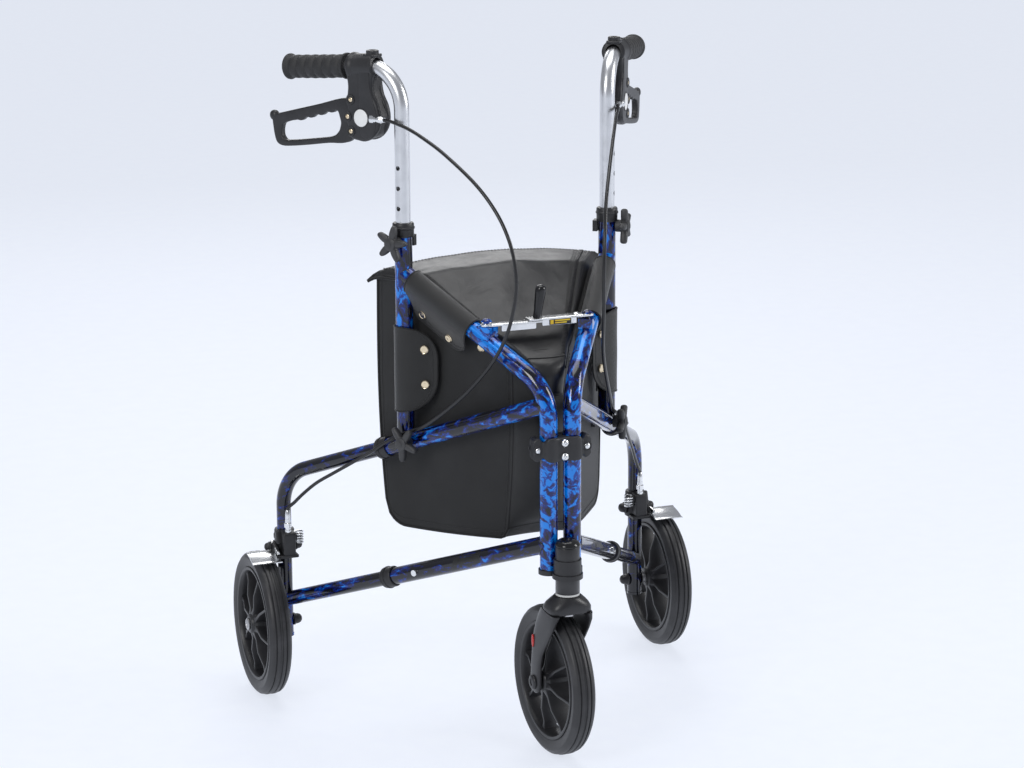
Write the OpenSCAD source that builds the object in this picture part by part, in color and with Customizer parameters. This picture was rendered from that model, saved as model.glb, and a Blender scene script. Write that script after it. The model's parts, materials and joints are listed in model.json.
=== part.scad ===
// Three-wheel folding walker: two hinged side frames, a castering front wheel, two braked
// rear wheels, height-adjustable handles, a folding link and a soft bag.
// +Z is up, the walker's front faces -Y, and the origin lies on the floor at the middle.
// Each side is drawn in its own frame plane: X outward, Y rearward from the hinge, Z up.

/* [Layout] */
// Half of the angle between the open side frames
half_angle = 32.9; // [28:0.1:36]
// Distance of each hinge axis from the middle
hinge_x = 15.3; // [14.5:0.1:17]
// Distance of the uprights from their hinge axis
upright_r = 223; // [200:1:245]
// Distance of the rear legs from their hinge axis
leg_r = 430.5; // [400:0.5:460]
// Distance of the folding link's pivots from the hinge axis
link_r = 94; // [85:1:105]

/* [Tubes] */
// Outside diameter of the main tubes
main_d = 22.2; // [20:0.1:25]
// Outside diameter of the handle tubes and rear legs
inner_d = 19; // [17:0.1:19]
// Wall thickness of every frame tube
tube_wall = 1.5; // [1.2:0.1:1.55]
// Radius of the tube bends
bend_r = 60; // [45:1:70]

/* [Heights] */
// Lower end of the hinged front tubes
front_tube_z = 245; // [235:1:255]
// Height where the diagonal's line would meet the hinge axis
diagonal_z = 470.5; // [455:0.5:485]
// Height where the diagonal meets the upright
diagonal_join_z = 590; // [570:1:610]
// Height of the middle tube at the hinge axis
middle_z = 453.6; // [440:0.1:460]
// Height of the middle tube at the upright
middle_foot_z = 371.2; // [360:0.1:380]
// Height of the lower tube at the hinge axis
lower_z = 276.8; // [270:0.1:285]
// Height of the lower tube at the rear leg
lower_leg_z = 123.5; // [115:0.1:135]
// Middle height of the hinge clamp
clamp_z = 399; // [390:1:405]
// Height of the handle tube above the upright
handle_z = 849.5; // [820:0.5:880]
// Height of the handle tube at the grip's end
grip_end_z = 833.3; // [820:0.1:845]
// Height of the face between the folding link's two plates
link_z = 541.4; // [541.4:0.1:546]

/* [Wheels] */
// Diameter of all three wheels
wheel_d = 190; // [175:1:200]
// Width of the tyres
wheel_w = 30; // [26:1:32]
// Distance of each rear wheel's middle plane outward from its leg
rear_wheel_out = 33; // [31:0.5:40]
// Distance of the caster's stem in front of the hinge axes
stem_y = 24.2; // [23.5:0.1:28]
// Distance of the front axle behind the caster's stem
caster_trail = 39.4; // [30:0.1:45]
// Resting turn of the caster
caster_turn = 4; // [-15:1:15]

/* [Handles] */
// Distance of the grip's end from the hinge axis
grip_end_r = 405; // [395:1:415]
// Length of the grip
grip_length = 98; // [90:1:105]
// Spacing of the height holes
hole_pitch = 25.4; // [20:0.2:30]

/* [Hidden] */
$fn = 64;

left = -1;
right = 1;
fit = 0.05;          // radial clearance of a running fit
gap = 0.3;           // free space between neighbouring pieces
weld = 0.04;         // hairline left at a coped tube joint
bend_skin = 0.02;    // extra thickness of a bend
lap = 0.5;           // how far a straight stretch runs into a bend
main_r = main_d / 2;
inner_r = inner_d / 2;
wheel_r = wheel_d / 2;
over = 1;            // how far a cutter runs past a face

// The middle of the whole walker, front tyre to rear tyres, measured from the hinge axes
front_y = -stem_y + caster_trail - wheel_r;
rear_y = leg_r * cos(half_angle) + wheel_r;
middle_y = (front_y + rear_y) / 2;

middle_slope = (middle_z - middle_foot_z) / upright_r;
lower_slope = (lower_z - lower_leg_z) / leg_r;
diagonal_slope = (diagonal_join_z - diagonal_z) / upright_r;
handle_slope = (handle_z - grip_end_z) / (grip_end_r - upright_r);
function middle_at(r) = middle_z - middle_slope * r;
function lower_at(r) = lower_z - lower_slope * r;
function diagonal_at(r) = diagonal_z + diagonal_slope * r;
function handle_at(r) = handle_z - handle_slope * (r - upright_r);

clamp_h = 31;
bracket_t = 6;
upright_top = 650;
collar_h = 18;
sleeve_end_r = 262;      // rear ends of the middle and lower sleeves
leg_end_z = 77;
knob_r = 210;            // place of the lower star knob along the middle tube
knob_z = 630;            // height of the upper star knob
knob_seat = main_r + gap;
brake_pivot_z = 198;
button_r = 203;
handle_foot_z = 466;
handle_bend_r = 50;
lever_pivot = [297, 788];
ferrule_x = 9.5;         // the cable leaves the housing outward of the handle tube
link_half = hinge_x + link_r * sin(half_angle);
link_t = 2.5;
plan_side = 21;          // how far the bag's side lies inside the frame plane

//////////////////////////////////////////////////////////////////////
// Frames of reference

module placed() {
  translate([0, -middle_y, 0]) children();
}

// X outward, Y rearward in the frame plane, Z up
module side(s) {
  placed() mirror([s < 0 ? 1 : 0, 0, 0]) translate([hinge_x, 0, 0])
    rotate([0, 0, -half_angle]) children();
}

// At a rear leg: X along the wheel's axle, Y straight to the rear
module at_leg(s) {
  side(s) translate([0, leg_r, 0]) rotate([0, 0, half_angle]) children();
}

// At the caster's stem, turned with it: Y is the rolling direction's rear
module at_caster() {
  placed() translate([0, -stem_y, 0]) rotate([0, 0, caster_turn]) children();
}

// Draws in the frame plane: x runs rearward, y runs up, z runs outward
module in_plane() {
  rotate([90, 0, 90]) children();
}

//////////////////////////////////////////////////////////////////////
// Repeated shapes

// A rod from a to b in the drawing plane
module rod(a, b, r) {
  d = b - a;
  translate([a.x, a.y, 0]) rotate([0, 0, atan2(d.y, d.x)]) rotate([0, 90, 0])
    cylinder(h = norm(d), r = r);
}

function unit(v) = v / norm(v);
function turn(a, b) = atan2(a.x * b.y - a.y * b.x, a * b);

// A tube through a, b and c, bent at b with the given radius; wall 0 makes it solid.
// The straight stretches run a little way into the bend, which is a hair thicker.
module bent_tube(a, b, c, bend, r, wall) {
  d0 = unit(b - a);
  d1 = unit(c - b);
  t = turn(d0, d1);
  cut = bend * tan(abs(t) / 2);
  centre = b - d0 * cut + sign(t) * [-d0.y, d0.x] * bend;
  translate([centre.x, centre.y, 0]) rotate([0, 0, atan2(d0.y, d0.x) - 90])
    mirror([t < 0 ? 1 : 0, 0, 0]) {
      rotate_extrude(angle = abs(t)) translate([bend, 0])
        tube_section(r + bend_skin, wall > 0 ? wall + 2 * bend_skin : 0);
      translate([bend, lap, 0]) rotate([90, 0, 0]) stretch(norm(b - a) - cut + lap, r, wall);
      rotate([0, 0, abs(t)]) translate([bend, -lap, 0]) rotate([-90, 0, 0])
        stretch(norm(c - b) - cut + lap, r, wall);
    }
}

module stretch(h, r, wall) {
  difference() {
    cylinder(h = h, r = r);
    if (wall > 0) translate([0, 0, -over]) cylinder(h = h + 2 * over, r = r - wall);
  }
}

module tube_section(r, wall) {
  difference() {
    circle(r);
    if (wall > 0) circle(r - wall);
  }
}

module tube(a, b, r, wall) {
  d = unit(b - a);
  difference() {
    rod(a, b, r);
    if (wall > 0) rod(a - d * over, b + d * over, r - wall);
  }
}

// A round bar or disc across the frame plane, from x0 to x1
module cross_rod(x0, x1, r) {
  translate([x0, 0, 0]) rotate([0, 90, 0]) cylinder(h = x1 - x0, r = r);
}

// A domed cap nut or screw head pointing along +X
module dome(r, h) {
  rotate([0, 90, 0]) rotate_extrude() intersection() {
    square([r, h]);
    translate([0, h - (r * r + h * h) / (2 * h)]) circle((r * r + h * h) / (2 * h));
  }
}

//////////////////////////////////////////////////////////////////////
// Front hinge

// Outline of one clamp half: two tube saddles with a bolt ear at each end
module clamp_half(front) {
  depth = 18;
  width = 62;
  ear_w = 13;
  s = front ? -1 : 1;
  placed() translate([0, 0, clamp_z - clamp_h / 2]) difference() {
    linear_extrude(clamp_h) difference() {
      union() {
        translate([-width / 2 + ear_w / 2, s > 0 ? gap / 2 : -depth])
          square([width - ear_w, depth - gap / 2]);
        translate([-width / 2 - ear_w / 2, s > 0 ? gap / 2 : -8])
          square([width + ear_w, 8 - gap / 2]);
      }
      for (x = [-hinge_x, hinge_x]) translate([x, 0]) circle(main_r + fit);
      for (x = [-1, 1]) translate([x * (width / 2 - ear_w / 2), s * depth]) circle(4);
    }
    for (z = [clamp_h / 2 - 8.5, clamp_h / 2 + 8.5])
      translate([0, -30, z]) rotate([-90, 0, 0]) cylinder(h = 60, r = 2.5);
    for (x = [-1, 1]) translate([x * (width / 2 + 1), -30, clamp_h / 2])
      rotate([-90, 0, 0]) cylinder(h = 60, r = 2.5);
  }
}

module hinge_clamp_front() {
  color("black") clamp_half(true);
}

module hinge_clamp_rear() {
  color("black") clamp_half(false);
}

// Two middle screws and two ear bolts, each with a domed head and a nut
module clamp_screws() {
  color("silver") placed() {
    for (z = [clamp_z - 8.5, clamp_z + 8.5]) clamp_screw([0, 0, z], 18);
    for (x = [-32, 32]) clamp_screw([x, 0, clamp_z], 8);
  }
}

module clamp_screw(at, depth) {
  translate(at) {
    translate([0, -depth, 0]) rotate([0, 0, -90]) dome(4.8, 3);
    translate([0, -depth, 0]) rotate([-90, 0, 0]) cylinder(h = 2 * depth + 2, r = 2.45);
    translate([0, depth + fit, 0]) rotate([-90, 0, 0]) cylinder(h = 4, r = 4.6, $fn = 6);
  }
}

stem_r = 15;
stem_bottom = 220;
stem_top = 279;

module stem_tube() {
  color("dimgray") placed() translate([0, -stem_y, stem_bottom]) difference() {
    cylinder(h = stem_top - stem_bottom, r = stem_r);
    translate([0, 0, -over]) cylinder(h = stem_top - stem_bottom + 2 * over, r = stem_r - 2);
  }
}

module stem_cap() {
  color("black") placed() translate([0, -stem_y, stem_top + weld]) rotate([0, -90, 0])
    dome(stem_r + 0.4, 10);
}

// Two flanged bushes that carry the caster's stem
module stem_bushes() {
  color("gainsboro") placed() translate([0, -stem_y, 0]) {
    bush(stem_bottom, -1);
    bush(stem_top - 12, 1);
  }
}

module bush(z, flange) {
  difference() {
    union() {
      translate([0, 0, min(z, z + 2.5 * flange)]) cylinder(h = 12, r = stem_r - 2 - fit / 2);
      if (flange < 0) translate([0, 0, z - 2.5]) cylinder(h = 2.5 - fit / 2, r = stem_r);
    }
    translate([0, 0, z - 5]) cylinder(h = 25, r = 6 + fit);
  }
}

// Plate that joins the stem to the lower tube ends, with a pin up each tube
module lower_bracket() {
  tie_h = 18;
  color("black") placed() {
    difference() {
      translate([0, 0, front_tube_z - bracket_t - fit]) linear_extrude(bracket_t)
        union() {
          for (x = [-hinge_x, hinge_x]) translate([x, 0]) circle(13);
          translate([0, -stem_y]) circle(stem_r + 4);
          translate([-hinge_x, -stem_y]) square([2 * hinge_x, stem_y + 9]);
        }
      translate([0, -stem_y, 200]) cylinder(h = 60, r = stem_r + fit);
    }
    for (x = [-hinge_x, hinge_x]) translate([x, 0, front_tube_z - fit])
      cylinder(h = 26, r = main_r - tube_wall - fit);
    translate([0, -stem_y, front_tube_z - fit]) difference() {
      cylinder(h = tie_h, r = stem_r + 2.2);
      translate([0, 0, -over]) cylinder(h = tie_h + 2 * over, r = stem_r + fit);
      for (x = [-hinge_x, hinge_x]) translate([x, stem_y, -over])
        cylinder(h = tie_h + 2 * over, r = main_r + gap);
    }
  }
}

//////////////////////////////////////////////////////////////////////
// Caster

fork_top = 212.3;
fork_leg_x = 21;         // inner face of each fork leg
fork_leg_t = 7;

// Side view of a fork leg: from the crown it sweeps back and down to the axle
module fork_leg_outline() {
  difference() {
    union() {
      polygon([[-22, fork_top - 14], [22, fork_top - 14], [42, 168], [caster_trail + 17, 130],
        [caster_trail + 15, wheel_r - 6], [caster_trail - 15, wheel_r - 6],
        [caster_trail - 19, 122], [-4, 158], [-20, 178]]);
      translate([caster_trail, wheel_r - 2]) circle(15.5);
    }
    translate([caster_trail, wheel_r]) circle(5);
  }
}

module fork() {
  color([0.08, 0.08, 0.09]) at_caster() {
    for (s = [-1, 1]) difference() {
      translate([s > 0 ? fork_leg_x : -fork_leg_x - fork_leg_t, 0, 0]) in_plane()
        linear_extrude(fork_leg_t) fork_leg_outline();
      reflector_at(s) cylinder(h = 3, r = 6.5 + fit);
    }
    difference() {
      union() {
        translate([-fork_leg_x - fork_leg_t, -22, 198.3])
          cube([2 * (fork_leg_x + fork_leg_t), 44, fork_top - 198.3]);
        translate([0, 0, fork_top - 4]) cylinder(h = 8.7, r = 16);
      }
      translate([0, 0, 190]) cylinder(h = 40, r = 6 + fit / 2);
      for (x = [-1, 1], y = [-1, 1]) fork_corner(x, y);
    }
  }
}

// Rounds one upright corner of the crown
module fork_corner(x, y) {
  corner = 12;
  translate([x * (fork_leg_x + fork_leg_t - corner), y * (22 - corner), 180])
    difference() {
      translate([x > 0 ? 0 : -corner - over, y > 0 ? 0 : -corner - over, 0])
        cube([corner + over, corner + over, 50]);
      translate([0, 0, -over]) cylinder(h = 60, r = corner);
    }
}

// Seat of the small coloured inset on the outer face of a fork leg
module reflector_at(s) {
  translate([s * (fork_leg_x + fork_leg_t - 1.5), 40, 150]) rotate([0, s * 90, 0])
    children();
}

module fork_reflectors() {
  color("red") at_caster() for (s = [-1, 1]) reflector_at(s) cylinder(h = 2.2, r = 6.5);
}

module swivel_stem() {
  color("silver") at_caster() {
    translate([0, 0, 200]) cylinder(h = stem_top - 202, r = 6);
    translate([0, 0, 191]) cylinder(h = 7, r = 9);
    translate([0, 0, 197.5]) cylinder(h = 3, r = 5.9);
  }
}

module front_axle() {
  outside = fork_leg_x + fork_leg_t;
  color("silver") at_caster() translate([0, caster_trail, wheel_r]) {
    cross_rod(-outside - 1, outside + 1, 4);
    translate([outside + fit, 0, 0]) dome(8, 6);
    translate([-outside - fit, 0, 0]) mirror([1, 0, 0]) dome(8, 6);
  }
}

//////////////////////////////////////////////////////////////////////
// Wheels, drawn with the axle along X

rim_r = 74;
hub_r = 17;
spokes = 8;

module wheel_tyre() {
  shoulder = 5;
  half = wheel_w / 2;
  rotate([0, 90, 0]) rotate_extrude($fn = 128) difference() {
    union() {
      translate([rim_r, -half + 3]) square([wheel_r - rim_r - shoulder, wheel_w - 6]);
      translate([rim_r + 5, -half]) square([wheel_r - rim_r - shoulder - 5, wheel_w]);
      translate([wheel_r - shoulder - 0.1, -half + shoulder])
        square([shoulder + 0.1, wheel_w - 2 * shoulder]);
      for (z = [-half + shoulder, half - shoulder])
        translate([wheel_r - shoulder, z]) circle(shoulder);
    }
    for (z = [-7, 0, 7]) translate([wheel_r - 1.8, z - 1]) square([5, 2]);
  }
}

// Moulded rim: outer ring, thin web with deep ribs, and a hub with an axle bore
module wheel_rim(axle_r, hub_w) {
  ring_t = 5;
  web_w = wheel_w - 8;
  difference() {
    union() {
      cross_rod(-hub_w / 2, hub_w / 2, hub_r);
      for (i = [0 : spokes - 1]) rotate([i * 360 / spokes, 0, 0])
        translate([-web_w / 2, -2, hub_r - 2]) cube([web_w, 4, rim_r - ring_t - hub_r + 4]);
      rotate([0, 90, 0]) rotate_extrude($fn = 128)
        translate([rim_r - ring_t, -wheel_w / 2 + 3]) square([ring_t - weld, wheel_w - 6]);
    }
    cross_rod(-40, 40, axle_r + fit);
  }
}

module front_tyre() {
  color([0.13, 0.13, 0.14]) at_caster() translate([0, caster_trail, wheel_r]) wheel_tyre();
}

module front_rim() {
  color("black") at_caster() translate([0, caster_trail, wheel_r]) wheel_rim(4, 40);
}

module at_rear_wheel(s) {
  at_leg(s) translate([rear_wheel_out, 0, wheel_r]) children();
}

module rear_tyre(s) {
  color([0.13, 0.13, 0.14]) at_rear_wheel(s) wheel_tyre();
}

module rear_rim(s) {
  color("black") at_rear_wheel(s) wheel_rim(4, 36);
}

// Axle bolt through the leg, with a spacer, an outer head and an inner cap nut
module rear_axle(s) {
  outer = rear_wheel_out + 18 + gap;
  color("silver") at_leg(s) translate([0, 0, wheel_r]) {
    cross_rod(-10.5, outer + 1, 4);
    translate([outer, 0, 0]) dome(8, 6);
    difference() {
      cross_rod(inner_r - 2, rear_wheel_out - 18 - gap, 8);
      translate([0, 0, -20]) cylinder(h = 40, r = inner_r + weld);
    }
    translate([-inner_r - weld, 0, 0]) mirror([1, 0, 0]) dome(7.5, 10.5);
  }
}

//////////////////////////////////////////////////////////////////////
// Side frame tubes

module middle_rod(r) {
  rod([-20, middle_at(-20)], [sleeve_end_r + 20, middle_at(sleeve_end_r + 20)], r);
}

module front_tube_path(r, wall) {
  bent_tube([0, front_tube_z], [0, diagonal_z], [upright_r, diagonal_join_z], bend_r, r, wall);
}

// Hinged front tube, bent into the diagonal, with the link's bracket on top of it
module front_tube(s) {
  top = diagonal_at(link_r) + main_r;
  color("navy") side(s) {
    difference() {
      in_plane() front_tube_path(main_r, tube_wall);
      translate([0, upright_r, diagonal_join_z - 60]) cylinder(h = 120, r = main_r + weld);
    }
    difference() {
      translate([-9, link_r - 11, top - 6]) cube([18, 22, link_z - link_t - top + 6 - gap]);
      in_plane() rod([upright_r * 0.2, diagonal_at(upright_r * 0.2)],
        [upright_r * 0.7, diagonal_at(upright_r * 0.7)], main_r + weld);
    }
    translate([0, link_r, link_z - link_t - 1]) cylinder(h = 4 + 2 * link_t, r = 4);
    translate([0, link_r, link_z + link_t + 0.6]) rotate([0, -90, 0]) dome(7, 4);
  }
}

module upright(s) {
  color("navy") side(s) difference() {
    translate([0, upright_r, middle_foot_z]) cylinder(h = upright_top - middle_foot_z, r = main_r);
    translate([0, upright_r, middle_foot_z - over]) cylinder(h = 400, r = main_r - tube_wall);
    in_plane() middle_rod(main_r + weld);
    translate([0, upright_r, knob_z]) cross_rod(-20, 20, 3.2);
  }
}

module middle_tube(s) {
  start_r = 4;
  color("navy") side(s) difference() {
    in_plane() tube([start_r, middle_at(start_r)], [sleeve_end_r, middle_at(sleeve_end_r)], main_r, tube_wall);
    in_plane() front_tube_path(main_r + weld, 0);
    translate([0, knob_r, middle_at(knob_r)]) cross_rod(-20, 20, 3.2);
  }
}

module lower_tube(s) {
  color("navy") side(s) difference() {
    in_plane() tube([0, lower_z], [sleeve_end_r - 6, lower_at(sleeve_end_r - 6)], main_r, tube_wall);
    translate([0, 0, lower_z - 60]) cylinder(h = 120, r = main_r + weld);
    translate([0, button_r, lower_at(button_r)]) cross_rod(0, 20, 4.1);
  }
}

// Rear leg: the upper stretch slides out of the middle sleeve and bends down past the axle
module rear_leg(s) {
  start_r = 180;
  end_z = leg_end_z;
  color([0.04, 0.06, 0.2]) side(s) {
    difference() {
      in_plane() bent_tube([start_r, middle_at(start_r)], [leg_r, middle_at(leg_r)],
        [leg_r, end_z], bend_r, inner_r, tube_wall);
      translate([0, knob_r, middle_at(knob_r)]) cross_rod(-20, 20, 3.2);
      translate([0, leg_r, wheel_r]) rotate([0, 0, half_angle]) cross_rod(-20, 20, 4 + fit);
      translate([0, leg_r, brake_pivot_z]) rotate([0, 0, half_angle]) cross_rod(-20, 20, 3 + fit);
    }
    difference() {
      in_plane() tube([start_r, lower_at(start_r)], [leg_r, lower_at(leg_r)], inner_r, tube_wall);
      translate([0, leg_r, 60]) cylinder(h = 120, r = inner_r + weld);
      translate([0, button_r, lower_at(button_r)]) cross_rod(0, 20, 4.1);
    }
    translate([0, leg_r, end_z - 3]) cylinder(h = 3 - weld, r = inner_r + 0.6);
  }
}

// Plastic collar round a sleeve's end, with a lip down to the tube that slides out of it
module collar(a, b) {
  d = unit(b - a);
  length = norm(b - a);
  difference() {
    union() {
      rod(a, b, main_r + 2.2);
      rod(b - d * 4, b, main_r + 3.4);
    }
    rod(a - d * over, a + d * (length - 4), main_r + weld);
    rod(a, b + d * over, inner_r + fit);
  }
}

// The upper collar is notched over the knob's boss and the bolt's head
module tube_collars(s) {
  notch = 8.5;
  color("black") side(s) difference() {
    in_plane() collar([upright_r, upright_top - collar_h + 4], [upright_r, upright_top + 4]);
    translate([-20, upright_r - notch, knob_z]) cube([40, 2 * notch, notch]);
  }
  color("black") side(s) in_plane() {
    rear_collar(sleeve_end_r, middle_at(sleeve_end_r), middle_slope);
    rear_collar(sleeve_end_r - 6, lower_at(sleeve_end_r - 6), lower_slope);
  }
}

module rear_collar(r, z, slope) {
  d = unit([1, -slope]);
  collar([r, z] - d * (collar_h - 4), [r, z] + d * 4.1);
}

// Spring button that locks the lower sleeve; the leaf behind it lies inside the leg
module snap_button(s) {
  color("silver") side(s) translate([0, button_r, lower_at(button_r)]) {
    cross_rod(4.5, main_r + 2.6, 4);
    cross_rod(3, 4.5, 5.5);
  }
}

//////////////////////////////////////////////////////////////////////
// Star knobs

module knob_shape() {
  arms = 5;
  tip_at = 19;
  tip_r = 3.4;
  root = 7.5;
  difference() {
    union() {
      cross_rod(0, 8, 8);
      translate([7, 0, 0]) rotate([0, 90, 0]) linear_extrude(10) {
        circle(9);
        for (i = [0 : arms - 1]) rotate([0, 0, i * 360 / arms]) {
          translate([tip_at, 0]) circle(tip_r);
          polygon([[0, -root], [tip_at + 0.3, -tip_r + 0.02], [tip_at + 0.3, tip_r - 0.02],
            [0, root]]);
        }
      }
      translate([17, 0, 0]) dome(9, 2);
    }
    cross_rod(-over, 15, 3 + fit);
  }
}

module star_knob_upper(s) {
  color("dimgray") side(s) translate([knob_seat, upright_r, knob_z]) knob_shape();
}

module star_knob_lower(s) {
  color("dimgray") side(s) translate([knob_seat, knob_r, middle_at(knob_r)])
    rotate([36, 0, 0]) knob_shape();
}

// Bolt heads inside the frame and studs that carry the knobs outside it
module knob_bolts(s) {
  color("black") side(s) {
    translate([0, upright_r, knob_z]) {
      cross_rod(main_r - tube_wall + 0.2, main_r + 14, 3);
      bolt_head();
    }
    translate([0, knob_r, middle_at(knob_r)]) {
      cross_rod(-main_r - 1, main_r + 14, 3);
      bolt_head();
    }
  }
}

module bolt_head() {
  size = 14;
  translate([-main_r - gap - 6, -size / 2, -size / 2]) cube([6, size, size]);
}

//////////////////////////////////////////////////////////////////////
// Rear brakes, drawn at the leg with X along the axle

module brake_bracket(s) {
  low = 186;
  high = 222;
  color([0.1, 0.1, 0.1]) at_leg(s) {
    difference() {
      union() {
        translate([0, 0, low]) cylinder(h = high - low, r = 14);
        translate([-10, -25, low + 4]) cube([20, 16, high - low - 4]);
      }
      translate([0, 0, low - over]) cylinder(h = high, r = inner_r + weld);
      translate([0, 0, brake_pivot_z]) cross_rod(-30, 30, 3 + fit);
      translate([0, -18, low]) cylinder(h = 50, r = 2.5);
    }
    translate([0, 0, brake_pivot_z]) {
      cross_rod(-14, 25, 3);
      translate([-14 - weld, 0, 0]) mirror([1, 0, 0]) dome(7.5, 7);
      translate([24, 0, 0]) dome(5, 3);
    }
    translate([0, -18, high]) difference() {
      cylinder(h = 17, r = 4);
      translate([0, 0, -over]) cylinder(h = 20, r = 2.4);
    }
  }
}

// Arm on the pivot bolt with the shoe plate that reaches out over the tyre
module brake_arm(s) {
  shoe_near = 15;
  shoe_far = 54;
  lift = 3;
  shoe_r = wheel_r + lift;
  color("silver") at_leg(s) {
    difference() {
      union() {
        translate([0, 0, brake_pivot_z]) cross_rod(15, 23.5, 8);
        translate([15, -30, brake_pivot_z - 6]) cube([4, 30, 9]);
      }
      translate([0, 0, brake_pivot_z]) cross_rod(0, 40, 3 + fit);
      translate([0, 0, wheel_r]) cross_rod(0, 60, shoe_r + 0.5);
    }
    translate([shoe_near, 0, wheel_r]) rotate([0, 90, 0]) rotate([0, 0, 186])
      rotate_extrude(angle = 16, $fn = 128) translate([shoe_r, 0]) square([2.5, shoe_far - shoe_near]);
  }
}

//////////////////////////////////////////////////////////////////////
// Handles

module handle_path(r, wall, extra) {
  bent_tube([upright_r, handle_foot_z - extra], [upright_r, handle_z],
    [grip_end_r - 3 + extra, handle_at(grip_end_r - 3 + extra)], handle_bend_r, r, wall);
}

module handle_tube(s) {
  holes = 3;
  color("silver") side(s) difference() {
    in_plane() handle_path(inner_r, tube_wall, 0);
    for (i = [0 : holes - 1]) translate([0, upright_r, 672 + i * hole_pitch])
      cross_rod(-20, 20, 3);
  }
}

// Moulded brake housing clamped on the handle tube just in front of the grip
module brake_housing(s) {
  half = 13;
  color("black") side(s) difference() {
    union() {
      translate([-half, 0, 0]) in_plane() linear_extrude(2 * half) {
        translate([279, 780]) circle(28);
        polygon([[254, 792], [262, 812], [263, 834], [298, 834], [299, 812], [305, 792]]);
      }
      in_plane() rod([261, handle_at(261)], [304, handle_at(304)], 15.5);
      translate([0, 268, handle_at(268) + 12]) cylinder(h = 7, r = 8);
    }
    in_plane() handle_path(inner_r + weld, 0, over);
    translate([-4.6, 283, 738]) cube([9.2, 40, 76]);
    translate([ferrule_x, 0, 0]) in_plane() rod([230, 781], [268, 781], 3 + weld);
  }
  color("silver") side(s) {
    translate([0, lever_pivot.x, lever_pivot.y]) cross_rod(-4.7, 4.7, 2.5);
    translate([ferrule_x, 0, 0]) in_plane() difference() {
      rod([243, 781], [266, 781], 3);
      rod([242.5, 781], [245.4, 781], 2.6);
    }
  }
}

module grip(s) {
  start = grip_end_r - grip_length;
  d = unit([1, -handle_slope]);
  ribs = 9;
  color([0.1, 0.1, 0.1]) side(s) in_plane() difference() {
    union() {
      rod([start, handle_at(start)], [grip_end_r, handle_at(grip_end_r)], 13.5);
      for (i = [0 : ribs]) grip_ring(start + 3 + i * (grip_length - 9) / ribs, i % 9 == 0 ? 16.5 : 14.6);
    }
    rod([start - 2, handle_at(start - 2)], [grip_end_r - 3, handle_at(grip_end_r - 3)],
      inner_r + weld);
  }
}

module grip_ring(r, radius) {
  rod([r, handle_at(r)], [r + 5, handle_at(r + 5)], radius);
}

// Loop lever: hub plate in the housing, long upper finger bar, lower bar and end ball
module brake_lever(s) {
  half = 4.3;
  color([0.12, 0.12, 0.12]) side(s) {
    difference() {
      translate([-half, 0, 0]) in_plane() linear_extrude(2 * half) lever_outline();
      translate([0, lever_pivot.x, lever_pivot.y]) cross_rod(-20, 20, 2.5 + fit);
    }
    translate([0, 430, 770]) rotate([0, 90, 0]) translate([0, 0, -5]) cylinder(h = 10, r = 8.5);
  }
}

module lever_outline() {
  difference() {
    polygon([[292, 781], [291, 793], [298, 799], [317, 801], [421, 773], [430, 766],
      [425, 738], [419, 732], [335, 743], [305, 747], [296, 760]]);
    polygon([[322, 786], [412, 761], [414, 741], [340, 750], [322, 760]]);
  }
}

//////////////////////////////////////////////////////////////////////
// Folding link: two flat plates that meet at the middle, and a dipped lever

// Link plates overlap at the middle, so the right one lies above the left one
module link_plate(from_x, to_x, z) {
  width = 16;
  length = abs(to_x - from_x);
  translate([0, link_r * cos(half_angle), z]) difference() {
    union() {
      translate([min(from_x, to_x), -width / 2, 0]) cube([length, width, link_t]);
      translate([from_x, 0, 0]) cylinder(h = link_t, r = width / 2);
    }
    translate([from_x, 0, -over]) cylinder(h = 10, r = 4 + fit);
  }
}

module link_bar_left() {
  color("lightgray") placed() link_plate(-link_half, 11, link_z - link_t);
}

module link_bar_right() {
  color("silver") placed() link_plate(link_half, -13, link_z + gap / 2);
}

module link_lever() {
  base = link_z + link_t + gap / 2 + weld;
  color("black") placed() translate([0, link_r * cos(half_angle), base]) rotate([0, 8, 0])
    translate([0, 0, 0.8]) {
      cylinder(h = 34, r1 = 5, r2 = 6.8);
      translate([0, 0, 34]) sphere(6.8);
    }
}

//////////////////////////////////////////////////////////////////////
// Bag

bag_front = 72;          // distances along the frame plane
bag_rear = 282;
bag_nose_y = 30;         // straight back from the hinge axes
bag_low = 252;
bag_wall = 1.5;

function bag_y(r) = r * cos(half_angle) + plan_side * sin(half_angle);
function bag_x(r) = hinge_x + r * sin(half_angle) - plan_side * cos(half_angle);

// Plan of the bag, with a full nose between the front tubes, drawn in by the given wall
module bag_plan(inset) {
  f = bag_front + inset;
  b = bag_rear - inset;
  w = inset * 0.8;
  nose_x = 15 - w;
  polygon([[-nose_x, bag_nose_y + inset], [nose_x, bag_nose_y + inset],
    [bag_x(f) - w, bag_y(f)], [bag_x(b) - w, bag_y(b)],
    [-bag_x(b) + w, bag_y(b)], [-bag_x(f) + w, bag_y(f)]]);
}

// Cuts everything above the line from the front edge up to the rear edge
module below_lid(lower) {
  reach = 400;
  intersection() {
    children();
    translate([-reach / 2, 0, 0]) in_plane() linear_extrude(reach)
      polygon([[0, 0], [0, 468 - lower], [188, 578 - lower], [300, 575 - lower], [300, 0]]);
  }
}

module bag_body() {
  color([0.07, 0.07, 0.09]) placed() difference() {
    below_lid(0) translate([0, 0, bag_low]) linear_extrude(400) bag_plan(0);
    below_lid(-50) translate([0, 0, bag_low + bag_wall]) linear_extrude(400) bag_plan(bag_wall);
  }
}

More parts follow.
